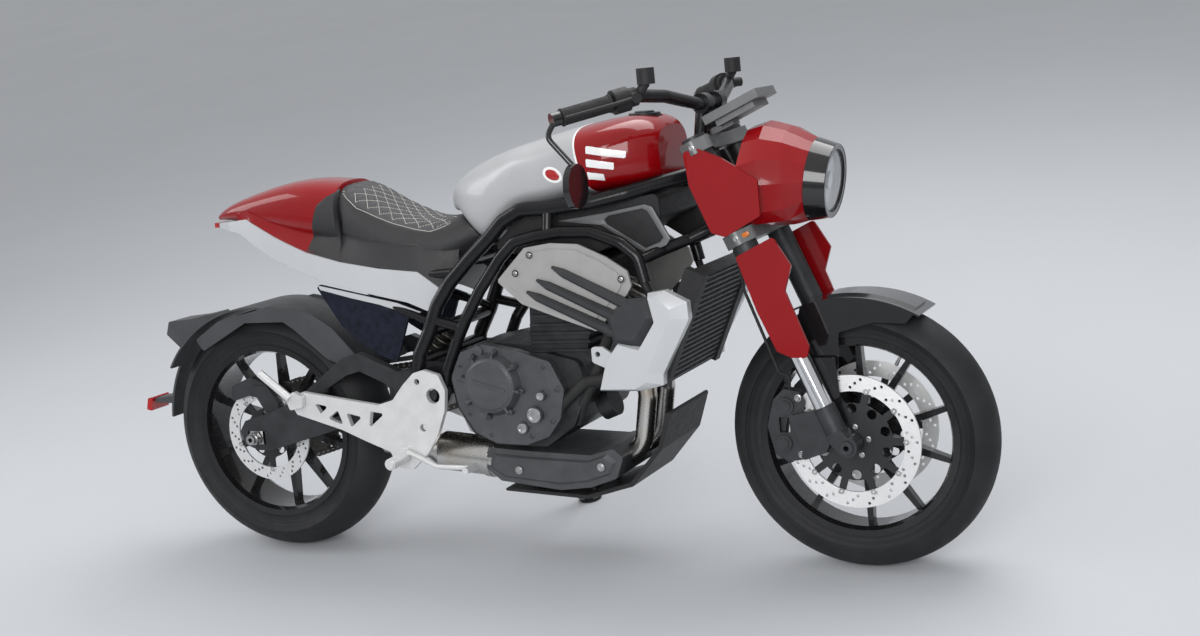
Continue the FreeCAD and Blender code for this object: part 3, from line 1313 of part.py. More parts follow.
def headlamp_bezel():
    """Black tapered ring round the headlamp glass."""
    ring = Part.makeCone(LAMP_R, LAMP_FRONT_R, LAMP_DEPTH, LAMP_BACK, LAMP_AXIS)
    recess = Part.makeCylinder(GLASS_R, LAMP_DEPTH, LAMP_BACK + LAMP_AXIS * 14, LAMP_AXIS)
    return ring.cut(recess)


def headlamp_lens():
    """Glass of the headlamp."""
    return Part.makeCylinder(GLASS_R, 12, LAMP_BACK + LAMP_AXIS * 14, LAMP_AXIS)


def dash():
    """Display over the top clamp: a screen housing on a lower tray, with its stay."""
    housing = to_fork(box(34, 172, -62, 62, TOP_CLAMP_S + 38, TOP_CLAMP_S + 58))
    tray = to_fork(box(52, 150, -46, 46, TOP_CLAMP_S + 24, TOP_CLAMP_S + 39))
    stay = to_fork(box(22, 80, -20, 20, TOP_CLAMP_S + CLAMP_H / 2, TOP_CLAMP_S + 30))
    return joined([housing, tray, stay]).cut([handlebar(), headlamp_shell(), fork_clamps()])


BAR_R = 14.0
GRIP_R = 17.0
BAR_POINTS = [V(1246, 0, 1052), V(1243, 70, 1052), V(1218, 190, 1078), V(1188, 268, 1086), V(1070, 400, 1058)]
BAR_BEND = 45.0


def bar_side(side):
    """Points of one half of the handlebar."""
    return [V(p.x, side * p.y, p.z) for p in BAR_POINTS]


@lru_cache(maxsize=None)
def handlebar():
    """Bent handlebar with its two risers."""
    left, right = bar_side(1), bar_side(-1)
    whole = pipe(list(reversed(right))[:-1] + left[1:], BAR_R, BAR_BEND)
    risers = []
    for side in (1, -1):
        foot = fork_point(0, side * 40, TOP_CLAMP_S + CLAMP_H / 2)
        middle = V(BAR_POINTS[1].x, side * 40, BAR_POINTS[1].z)
        risers.append(rod(foot, middle, 15))
        risers.append(Part.makeCylinder(22, 30, middle - Y_AXIS * 15, Y_AXIS))
    return joined([whole] + risers).cut(fork_clamps())


def grips():
    """Rubber grips at the bar's ends."""
    shapes = []
    for side in (1, -1):
        a, b = bar_side(side)[3], bar_side(side)[4]
        along = b - a
        length = along.Length
        along.normalize()
        start = a + along * (length - 118)
        grip = Part.makeCylinder(GRIP_R, 116, start, along)
        shapes.append(grip.cut(Part.makeCylinder(BAR_R, 130, start - along * 6, along)))
    return across(shapes)


def bar_controls():
    """Switch blocks, reservoirs and levers on both ends of the bar."""
    shapes = []
    for side in (1, -1):
        a, b = bar_side(side)[3], bar_side(side)[4]
        along = b - a
        length = along.Length
        along.normalize()
        start = a + along * (length - 156)
        block = Part.makeCylinder(26, 34, start, along)
        block = block.fuse(Part.makeCylinder(20, 20, start - along * 20, along))
        ahead = V(0, 0, 1).cross(along)
        if ahead.x < 0:
            ahead = ahead * -1
        ahead.normalize()
        pivot = start + ahead * 34 - along * 4
        master = rod(start - along * 8, pivot + ahead * 8, 11)
        pot_foot = a + V(8, -side * 10, 18)
        pot = Part.makeCylinder(19, 34, a + V(20, -side * 8, 22), Z_AXIS)
        pot_arm = rod(a + V(0, 0, 0), a + V(20, -side * 8, 26), 10)
        lever = pipe([pivot, pivot + along * 50 + ahead * 14, pivot + along * 165 + ahead * 8], 5, 30)
        body = joined([block, master, lever, pot_arm, pot])
        bar = pipe(bar_side(side), BAR_R, BAR_BEND)
        shapes.append(body.cut(bar))
    return across(shapes)


BRAKE_HOSE_R = 3.5


def brake_hoses():
    """Front brake hose from the right bar's pump to the clamp and on to both calipers."""
    hoses = []
    for side in (1, -1):
        route = [fork_point(-30, side * 60, LOWER_CLAMP_S + CLAMP_H / 2 - 4), fork_point(-34, side * 64, 460),
                 fork_point(-44, side * 84, 400), fork_point(-46, side * 92, 300), fork_point(-50, side * 96, 200),
                 fork_point(-62, side * 92, 120)]
        last = V(1404, side * 84, 412)
        hoses.append(pipe(route[:-1] + [last + V(4, side * 4, 40), last], BRAKE_HOSE_R, 40))
    return across([hose.cut([fork_clamps(), front_calipers(), front_mudguard()]) for hose in hoses])


def mirrors():
    """Round bar-end mirrors that hang below the bar."""
    shapes = []
    for side in (1, -1):
        a, b = bar_side(side)[3], bar_side(side)[4]
        along = b - a
        along.normalize()
        end = b + along * 0.3
        clamp_end = Part.makeCylinder(15, 20, end, along)
        centre = V(b.x + 30, side * 420, b.z - 140)
        stem = pipe([end + along * 10, end + along * 34 + V(0, 0, -30), centre + V(0, 0, 40)], 6, 20)
        head = Part.makeCylinder(46, 14, centre - V(7, 0, 0), X_AXIS)
        shapes.append(joined([clamp_end, stem, head]))
    return across(shapes)


STAY_BOSSES = [(1458, 472), (1500, 474)]
STAY_INNER = FRONT_DISC_Y + DISC_HALF + 5.2
STAY_OUTER = LEG_Y - FOOT_SLEEVE_R - 0.1


def front_mudguard():
    """Black mudguard close over the front tyre with its stays."""
    centre = FRONT_AXLE
    inner, outer = FRONT_RADIUS + 12, FRONT_RADIUS + 16
    wire_outer = Part.makeCylinder(outer, 148, centre - Y_AXIS * 74, Y_AXIS)
    ring = wire_outer.cut(Part.makeCylinder(inner, 150, centre - Y_AXIS * 75, Y_AXIS))
    wedge_points = [V(WHEELBASE, -76, FRONT_RADIUS), V(WHEELBASE - 170, -76, 700), V(WHEELBASE + 80, -76, 760),
                    V(WHEELBASE + 200, -76, 640)]
    wedge = Part.Face(Part.makePolygon(wedge_points + [wedge_points[0]])).extrude(V(0, 152, 0))
    band = ring.common(wedge)
    crest = Part.makeCylinder(outer + 5, 84, centre - Y_AXIS * 42, Y_AXIS)
    crest = crest.cut(Part.makeCylinder(outer - 1, 86, centre - Y_AXIS * 43, Y_AXIS))
    crest_points = [V(WHEELBASE, -76, FRONT_RADIUS), V(WHEELBASE - 60, -76, 700), V(WHEELBASE + 80, -76, 760),
                    V(WHEELBASE + 176, -76, 640)]
    crest_wedge = Part.Face(Part.makePolygon(crest_points + [crest_points[0]])).extrude(V(0, 152, 0))
    shapes = [band, crest.common(crest_wedge)]
    for side in (1, -1):
        low, high = (70, 74) if side > 0 else (-74, -70)
        cheek = plate([(1440, 604), (1540, 640), (1640, 622), (1694, 580), (1670, 556), (1600, 560), (1522, 540),
                       (1515, 462), (1440, 455), (1430, 560)], low, high, 6)
        shapes.append(cheek.common(wire_outer))
        for x, z in STAY_BOSSES:
            shapes.append(rod(V(x, side * 70, z), V(x, side * STAY_OUTER, z), 9))
        y_pair = sorted([side * STAY_INNER, side * STAY_OUTER])
        shapes.append(plate([(1444, 488), (1514, 488), (1520, 385), (1532, 345), (1510, 338), (1486, 372),
                             (1450, 448)], y_pair[0], y_pair[1], 6))
    guard = joined(shapes)
    return guard


def front_calipers():
    """Radial calipers over the front discs: a rounded body, its piston caps and a bridge window."""
    shapes = []
    outline = [(1366, 396), (1392, 420), (1428, 412), (1440, 392), (1424, 335), (1440, 288), (1430, 262), (1392, 256),
               (1362, 272), (1348, 336)]
    for side in (1, -1):
        inner, outer = 58, 88.7
        low, high = sorted((side * inner, side * outer))
        parts = [plate(outline, low, high, 12)]
        for x, z, r in ((1394, 382, 19), (1384, 298, 19)):
            parts.append(Part.makeCylinder(r, CALIPER_CAP, V(x, side * (outer - 0.5), z), Y_AXIS * side))
            parts.append(Part.makeCylinder(r - 7, CALIPER_CAP + 2, V(x, side * (outer - 0.5), z), Y_AXIS * side))
        slot = Part.makeCylinder(FRONT_DISC_R + 8, 19, FRONT_AXLE + V(0, side * FRONT_DISC_Y - 9.5, 0), Y_AXIS)
        window = box(1376, 1400, low - 1, low + 12, 322, 356) if side < 0 else box(1376, 1400, high - 11, high + 1,
                                                                                   322, 356)
        shapes.append(joined(parts).cut([slot, window]))
    return across(shapes)


# Side stand
def stand_directions():
    """Deployed leg direction, swing axis and foot point, in the upright frame."""
    floor_z = STAND_FOOT_Y * math.tan(math.radians(LEAN))
    sink = SHIFT_Z / math.cos(math.radians(LEAN))
    foot = V(STAND_FOOT_X, STAND_FOOT_Y, floor_z - sink)
    leg = foot - STAND_PIVOT
    leg.normalize()
    stowed = V(STAND_STOWED)
    stowed.normalize()
    axis = leg.cross(stowed)
    axis.normalize()
    return leg, axis, foot


def stand_swing():
    """Degrees that the stand turns from deployed to stowed."""
    leg, axis, foot = stand_directions()
    stowed = V(STAND_STOWED)
    return math.degrees(leg.getAngle(stowed))


def side_stand():
    """Leg with a knuckle at the pivot and a foot pad flat on the leaned floor."""
    leg, axis, foot = stand_directions()
    floor_up = V(0, -math.sin(math.radians(LEAN)), math.cos(math.radians(LEAN)))
    pad = Part.makeCylinder(STAND_PAD_R, STAND_PAD_H, foot, floor_up)
    half = STAND_KNUCKLE_HALF
    knuckle = Part.makeCylinder(17, 2 * half, STAND_PIVOT - axis * half, axis)
    tang = flat_bar(STAND_PIVOT, STAND_PIVOT + leg * 44, 26, 2 * half, axis)
    bar = rod(STAND_PIVOT + leg * 26, foot + floor_up * (STAND_PAD_H - 0.5), STAND_ROD_R)
    hole = Part.makeCylinder(STAND_BOLT_R + SEAT_GAP, 60, STAND_PIVOT - axis * 30, axis)
    return joined([pad, knuckle, tang, bar]).cut(hole)


def stand_bracket():
    """Two cheeks under the engine with the bolt that the stand turns on."""
    leg, axis, foot = stand_directions()
    up_in = X_AXIS.cross(axis)
    up_in.normalize()
    offset = STAND_KNUCKLE_HALF + STAND_CHEEK_GAP + STAND_CHEEK / 2
    shapes = []
    for side in (1, -1):
        middle = STAND_PIVOT + axis * (side * offset)
        shapes.append(Part.makeCylinder(17, STAND_CHEEK, middle - axis * (STAND_CHEEK / 2), axis))
        shapes.append(flat_bar(middle, middle + up_in * 110, 34, STAND_CHEEK, axis))
    web = flat_bar(STAND_PIVOT + up_in * 60, STAND_PIVOT + up_in * 110, 34, 2 * offset, axis)
    bolt_half = offset + STAND_CHEEK / 2 + 5
    bolt = Part.makeCylinder(STAND_BOLT_R, 2 * bolt_half, STAND_PIVOT - axis * bolt_half, axis)
    return joined(shapes + [web, bolt]).cut(engine())


ALL_PIECES = {
    "frame": frame,
    "subframe": subframe,
    "engine": engine_block,
    "engine_covers": engine_covers,
    "stand_bracket": stand_bracket,
    "airbox": airbox,
    "tank_rear": tank_rear,
    "tank_front": tank_front,
    "filler_cap": filler_cap,
    "seat": seat,
    "tail_cowl": tail_cowl,
    "tail_band": tail_band,
    "under_panels": under_panels,
    "side_covers": side_covers,
    "side_scoops": side_scoops,
    "radiator_shrouds": radiator_shrouds,
    "radiator": radiator,
    "coolant_hoses": coolant_hoses,
    "header_pipes": header_pipes,
    "silencer": silencer,
    "exhaust_can": exhaust_can,
    "belly_guard": belly_guard,
    "footrest_plates": footrest_plates,
    "pegs": pegs,
    "swingarm": swingarm,
    "axle_blocks": axle_blocks,
    "rear_shock": rear_shock,
    "rear_axle": rear_axle,
    "rear_guards": rear_guards,
    "rear_caliper": rear_caliper,
    "plate_holder": plate_holder,
    "rear_lamps": rear_lamps,
    "chain": chain,
    "rear_wheel_rim": rear_wheel_rim,
    "rear_tyre": rear_tyre,
    "rear_disc": rear_disc,
    "rear_sprocket": rear_sprocket,
    "front_wheel_rim": front_wheel_rim,
    "front_tyre": front_tyre,
    "front_discs": front_discs,
    "front_axle": front_axle,
    "fork_clamps": fork_clamps,
    "fork_tubes": fork_tubes,
    "fork_sliders": fork_sliders,
    "fork_feet": fork_feet,
    "fork_covers": fork_covers,
    "headlamp_shell": headlamp_shell,
    "headlamp_bezel": headlamp_bezel,
    "headlamp_lens": headlamp_lens,
    "dash": dash,
    "handlebar": handlebar,
    "grips": grips,
    "bar_controls": bar_controls,
    "mirrors": mirrors,
    "brake_hoses": brake_hoses,
    "front_mudguard": front_mudguard,
    "front_calipers": front_calipers,
    "side_stand": side_stand,
}


def lean_point(point):
    """Where a point of the upright bike lies once the bike leans on its stand."""
    turn = FreeCAD.Rotation(X_AXIS, -LEAN)
    return turn.multVec(point) + V(SHIFT_X, SHIFT_Y, SHIFT_Z)


def lean_direction(direction):
    """A direction of the upright bike once the bike leans on its stand."""
    return FreeCAD.Rotation(X_AXIS, -LEAN).multVec(direction)


def lean_shape(shape):
    """A shape of the upright bike leaned onto the stand."""
    result = shape.copy()
    result.rotate(V(0, 0, 0), X_AXIS, -LEAN)
    result.translate(V(SHIFT_X, SHIFT_Y, SHIFT_Z))
    return result


def main():
    """Writes every piece as its own STEP file."""
    os.makedirs("parts", exist_ok=True)
    for name, make in ALL_PIECES.items():
        lean_shape(make()).exportStep("parts/" + name + ".step")


if __name__ == "__main__":
    main()
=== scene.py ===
"""Looks of a cafe racer motorcycle: finishes, padded seat, tyres, fastenings, trim and a studio stage."""

import json
import math

import bmesh
import bpy
from mathutils import Matrix, Vector
from mathutils.bvhtree import BVHTree


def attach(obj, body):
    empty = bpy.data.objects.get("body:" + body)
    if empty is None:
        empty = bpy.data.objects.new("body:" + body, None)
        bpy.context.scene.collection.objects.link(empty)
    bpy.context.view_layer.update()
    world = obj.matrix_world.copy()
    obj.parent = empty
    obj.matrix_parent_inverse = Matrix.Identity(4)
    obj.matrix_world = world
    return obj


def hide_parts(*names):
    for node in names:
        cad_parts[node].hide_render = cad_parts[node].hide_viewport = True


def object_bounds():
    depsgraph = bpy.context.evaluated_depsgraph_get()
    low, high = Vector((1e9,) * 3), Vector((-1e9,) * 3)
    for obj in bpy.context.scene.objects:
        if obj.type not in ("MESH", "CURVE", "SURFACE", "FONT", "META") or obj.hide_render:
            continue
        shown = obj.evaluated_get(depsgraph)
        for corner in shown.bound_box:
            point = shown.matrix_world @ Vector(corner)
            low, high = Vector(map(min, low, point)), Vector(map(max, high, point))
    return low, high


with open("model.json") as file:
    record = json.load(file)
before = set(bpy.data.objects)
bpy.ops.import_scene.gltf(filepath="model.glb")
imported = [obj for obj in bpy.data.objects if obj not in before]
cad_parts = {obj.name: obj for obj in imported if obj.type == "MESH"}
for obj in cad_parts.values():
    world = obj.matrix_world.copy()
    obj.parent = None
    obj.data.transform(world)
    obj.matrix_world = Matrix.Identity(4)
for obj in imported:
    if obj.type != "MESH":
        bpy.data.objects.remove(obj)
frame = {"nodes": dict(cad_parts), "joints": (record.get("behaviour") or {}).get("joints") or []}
cad_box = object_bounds()

bl_info = {
    "name": "Cafe Racer Looks",
    "version": (1, 0, 0),
    "blender": (4, 5, 0),
    "location": "View3D > Sidebar > Cafe Racer",
    "description": "Builds the finishes and fittings of a cafe racer motorcycle on its CAD frame",
    "category": "Object",
}

MM = 0.001

# Upright directions of the leaning bike, taken from its front wheel's joint
JOINTS = {joint["name"]: joint for joint in frame["joints"]}
ACROSS = Vector(JOINTS["front_wheel"]["axis"]).normalized()
AHEAD = Vector((1.0, 0.0, 0.0))
UP = AHEAD.cross(ACROSS)
FRONT_HUB = Vector(JOINTS["front_wheel"]["pos_m"])
REAR_HUB = Vector(JOINTS["rear_wheel"]["pos_m"])
WHEELBASE = (FRONT_HUB - REAR_HUB).dot(AHEAD) / MM
FRONT_RADIUS = 300.0
REAR_RADIUS = 312.0
REAR_HUB_Z = FRONT_RADIUS + (REAR_HUB - FRONT_HUB).dot(UP) / MM
ORIGIN = FRONT_HUB - AHEAD * (WHEELBASE * MM) - UP * (FRONT_RADIUS * MM)

UPRIGHT = Matrix((
    (AHEAD.x, ACROSS.x, UP.x, ORIGIN.x),
    (AHEAD.y, ACROSS.y, UP.y, ORIGIN.y),
    (AHEAD.z, ACROSS.z, UP.z, ORIGIN.z),
    (0.0, 0.0, 0.0, 1.0),
))
TO_ROW = UPRIGHT @ Matrix.Scale(MM, 4)
TO_UPRIGHT = TO_ROW.inverted()

# Fork directions
RAKE = math.radians(22.5)
FORK_UP = Vector((-math.sin(RAKE), 0.0, math.cos(RAKE)))
FORK_AHEAD = Vector((math.cos(RAKE), 0.0, math.sin(RAKE)))
FORK_FOOT = Vector((WHEELBASE, 0.0, FRONT_RADIUS)) - FORK_AHEAD * 30.0


def fork_place(ahead, y, up):
    """A place in the steering's own directions, in upright millimetres."""
    return FORK_FOOT + FORK_AHEAD * ahead + Vector((0.0, y, 0.0)) + FORK_UP * up


# Node materials
def new_material(name):
    """Empty material with a principled shader; returns the material, its nodes and links, and the shader."""
    material = bpy.data.materials.new(name)
    material.use_nodes = True
    nodes = material.node_tree.nodes
    links = material.node_tree.links
    shader = nodes["Principled BSDF"]
    return material, nodes, links, shader


def object_space(nodes, links, scale=(1.0, 1.0, 1.0)):
    """Object coordinates, in metres on the CAD frame, stretched by the scale."""
    coords = nodes.new("ShaderNodeTexCoord")
    mapping = nodes.new("ShaderNodeMapping")
    mapping.inputs["Scale"].default_value = scale
    links.new(coords.outputs["Object"], mapping.inputs["Vector"])
    return mapping.outputs["Vector"]


def noise(nodes, links, vector, scale, detail=4.0, roughness=0.55):
    """Noise texture output between 0 and 1."""
    texture = nodes.new("ShaderNodeTexNoise")
    texture.inputs["Scale"].default_value = scale
    texture.inputs["Detail"].default_value = detail
    texture.inputs["Roughness"].default_value = roughness
    links.new(vector, texture.inputs["Vector"])
    return texture.outputs["Fac"]


def ranged(nodes, links, value, low_in, high_in, low_out, high_out):
    """Maps a value from one range to another."""
    node = nodes.new("ShaderNodeMapRange")
    node.inputs["From Min"].default_value = low_in
    node.inputs["From Max"].default_value = high_in
    node.inputs["To Min"].default_value = low_out
    node.inputs["To Max"].default_value = high_out
    links.new(value, node.inputs["Value"])
    return node.outputs["Result"]


def blended(nodes, links, factor, low, high):
    """Mix of two colours, whose outputs are picked by their kind."""
    node = nodes.new("ShaderNodeMix")
    node.data_type = "RGBA"
    colour_in = [socket for socket in node.inputs if socket.type == "RGBA"]
    colour_out = [socket for socket in node.outputs if socket.type == "RGBA"][0]
    factor_in = [socket for socket in node.inputs if socket.type == "VALUE"][0]
    links.new(factor, factor_in)
    for socket, value in zip(colour_in, (low, high)):
        if isinstance(value, (tuple, list)):
            socket.default_value = (*value, 1.0)
        else:
            links.new(value, socket)
    return colour_out


def bumped(nodes, links, height, distance, strength, normal=None):
    """Normal pushed by a height, over another normal if one is given."""
    node = nodes.new("ShaderNodeBump")
    node.inputs["Distance"].default_value = distance
    node.inputs["Strength"].default_value = strength
    links.new(height, node.inputs["Height"])
    if normal is not None:
        links.new(normal, node.inputs["Normal"])
    return node.outputs["Normal"]


def soft_edges(nodes, radius):
    """Normal that rounds sharp edges by the radius."""
    node = nodes.new("ShaderNodeBevel")
    node.samples = 3
    node.inputs["Radius"].default_value = radius
    return node.outputs["Normal"]


def shaded(colour, factor):
    """A colour made darker or lighter."""
    return tuple(min(1.0, channel * factor) for channel in colour)


def finish(name, colour, roughness, metallic=0.0, coat=0.0, mottle=0.12, mottle_scale=25.0, swing=0.06,
           grain=0.0, grain_scale=700.0, edge=0.0008, shine=0.25):
    """Painted, cast, moulded or brushed surface with a broken-up colour, gloss and grain."""
    material, nodes, links, shader = new_material(name)
    space = object_space(nodes, links)
    wide = noise(nodes, links, space, mottle_scale)
    tone = ranged(nodes, links, wide, 0.3, 0.7, 0.0, 1.0)
    links.new(blended(nodes, links, tone, shaded(colour, 1.0 - mottle), shaded(colour, 1.0 + mottle)),
              shader.inputs["Base Color"])
    smudge = noise(nodes, links, space, mottle_scale * 3.0, 6.0, 0.65)
    links.new(ranged(nodes, links, smudge, 0.3, 0.7, max(0.02, roughness - swing), roughness + swing),
              shader.inputs["Roughness"])
    normal = soft_edges(nodes, edge) if edge > 0 else None
    if grain > 0:
        fine = noise(nodes, links, space, grain_scale, 3.0, 0.6)
        normal = bumped(nodes, links, fine, 0.0004, grain, normal)
    if normal is not None:
        links.new(normal, shader.inputs["Normal"])
    shader.inputs["Metallic"].default_value = metallic
    shader.inputs["Coat Weight"].default_value = coat
    shader.inputs["Coat Roughness"].default_value = 0.04
    shader.inputs["Specular IOR Level"].default_value = shine
    return material


def leather(name, colour, grain_scale=420.0, roughness=0.48):
    """Grained leather: small cells with fine creases between them, the creases darkened as painted shade."""
    material, nodes, links, shader = new_material(name)
    space = object_space(nodes, links)
    cells = nodes.new("ShaderNodeTexVoronoi")
    cells.feature = "DISTANCE_TO_EDGE"
    cells.inputs["Scale"].default_value = grain_scale
    links.new(space, cells.inputs["Vector"])
    crease_and_shade = ranged(nodes, links, cells.outputs["Distance"], 0.0, 0.35, 0.0, 1.0)
    wide = noise(nodes, links, space, 18.0)
    tone = ranged(nodes, links, wide, 0.3, 0.7, 0.0, 1.0)
    body = blended(nodes, links, tone, shaded(colour, 0.8), shaded(colour, 1.3))
    # The creases between the cells are painted at half the leather's colour: painted shade.
    links.new(blended(nodes, links, crease_and_shade, shaded(colour, 0.5), body), shader.inputs["Base Color"])
    links.new(ranged(nodes, links, wide, 0.3, 0.7, roughness - 0.08, roughness + 0.1),
              shader.inputs["Roughness"])
    links.new(bumped(nodes, links, crease_and_shade, 0.0005, 0.55), shader.inputs["Normal"])
    return material


def ground_disc(name, colour, carrier, hub, edge_radius):
    """Brake disc steel ground in circles round the axle, with a dark carrier inside its edge."""
    material, nodes, links, shader = new_material(name)
    coords = nodes.new("ShaderNodeTexCoord")
    mapping = nodes.new("ShaderNodeMapping")
    mapping.vector_type = "POINT"
    turn = Matrix((AHEAD, ACROSS, UP)).to_4x4()
    placed = turn @ Matrix.Translation(-hub)
    place, spin, _ = placed.decompose()
    mapping.inputs["Location"].default_value = place
    mapping.inputs["Rotation"].default_value = spin.to_euler()
    links.new(coords.outputs["Object"], mapping.inputs["Vector"])
    flat = nodes.new("ShaderNodeVectorMath")
    flat.operation = "MULTIPLY"
    flat.inputs[1].default_value = (1.0, 0.0, 1.0)
    links.new(mapping.outputs["Vector"], flat.inputs[0])
    radius = nodes.new("ShaderNodeVectorMath")
    radius.operation = "LENGTH"
    links.new(flat.outputs["Vector"], radius.inputs[0])
    on_ring = ranged(nodes, links, radius.outputs["Value"], edge_radius - 0.0004, edge_radius, 0.0, 1.0)
    wave = nodes.new("ShaderNodeTexWave")
    wave.wave_type = "RINGS"
    wave.rings_direction = "Y"
    wave.inputs["Scale"].default_value = 420.0
    wave.inputs["Distortion"].default_value = 1.5
    wave.inputs["Detail"].default_value = 3.0
    links.new(mapping.outputs["Vector"], wave.inputs["Vector"])
    ring = blended(nodes, links, wave.outputs["Fac"], shaded(colour, 0.86), shaded(colour, 1.1))
    links.new(blended(nodes, links, on_ring, carrier, ring), shader.inputs["Base Color"])
    links.new(ranged(nodes, links, wave.outputs["Fac"], 0.0, 1.0, 0.34, 0.46), shader.inputs["Roughness"])
    links.new(bumped(nodes, links, wave.outputs["Fac"], 0.0001, 0.4, soft_edges(nodes, 0.0005)),
              shader.inputs["Normal"])
    shader.inputs["Metallic"].default_value = 0.6
    return material


def glass(name, colour, roughness=0.03):
    """Clear moulded lens with a faint ripple."""
    material, nodes, links, shader = new_material(name)
    space = object_space(nodes, links)
    ripple = noise(nodes, links, space, 60.0)
    links.new(bumped(nodes, links, ripple, 0.0004, 0.1), shader.inputs["Normal"])
    shader.inputs["Base Color"].default_value = (*colour, 1.0)
    shader.inputs["Roughness"].default_value = roughness
    shader.inputs["Transmission Weight"].default_value = 0.92
    shader.inputs["IOR"].default_value = 1.45
    return material


def tinted_steel(name, colour, tint):
    """Exhaust steel with heat tint near the engine and a brushed grain."""
    material, nodes, links, shader = new_material(name)
    space = object_space(nodes, links)
    wide = noise(nodes, links, space, 9.0, 3.0)
    heat = ranged(nodes, links, wide, 0.45, 0.7, 0.0, 0.55)
    fine = noise(nodes, links, object_space(nodes, links, (1.0, 1.0, 12.0)), 160.0, 4.0)
    steel = blended(nodes, links, fine, shaded(colour, 0.86), shaded(colour, 1.1))
    links.new(blended(nodes, links, heat, steel, tint), shader.inputs["Base Color"])
    links.new(ranged(nodes, links, fine, 0.3, 0.7, 0.2, 0.34), shader.inputs["Roughness"])
    links.new(bumped(nodes, links, fine, 0.0002, 0.25, soft_edges(nodes, 0.0008)), shader.inputs["Normal"])
    shader.inputs["Metallic"].default_value = 1.0
    return material


MATERIALS = {}


def material_for(name):
    """A finish by name, made once; a colour in words is one of the panel's."""
    if name not in MATERIALS:
        maker, settings = FINISHES[name]
        settings = dict(settings)
        if isinstance(settings["colour"], str):
            settings["colour"] = tuple(getattr(bpy.context.scene.racer_paint, settings["colour"]))
        MATERIALS[name] = maker(name, **settings)
    return MATERIALS[name]


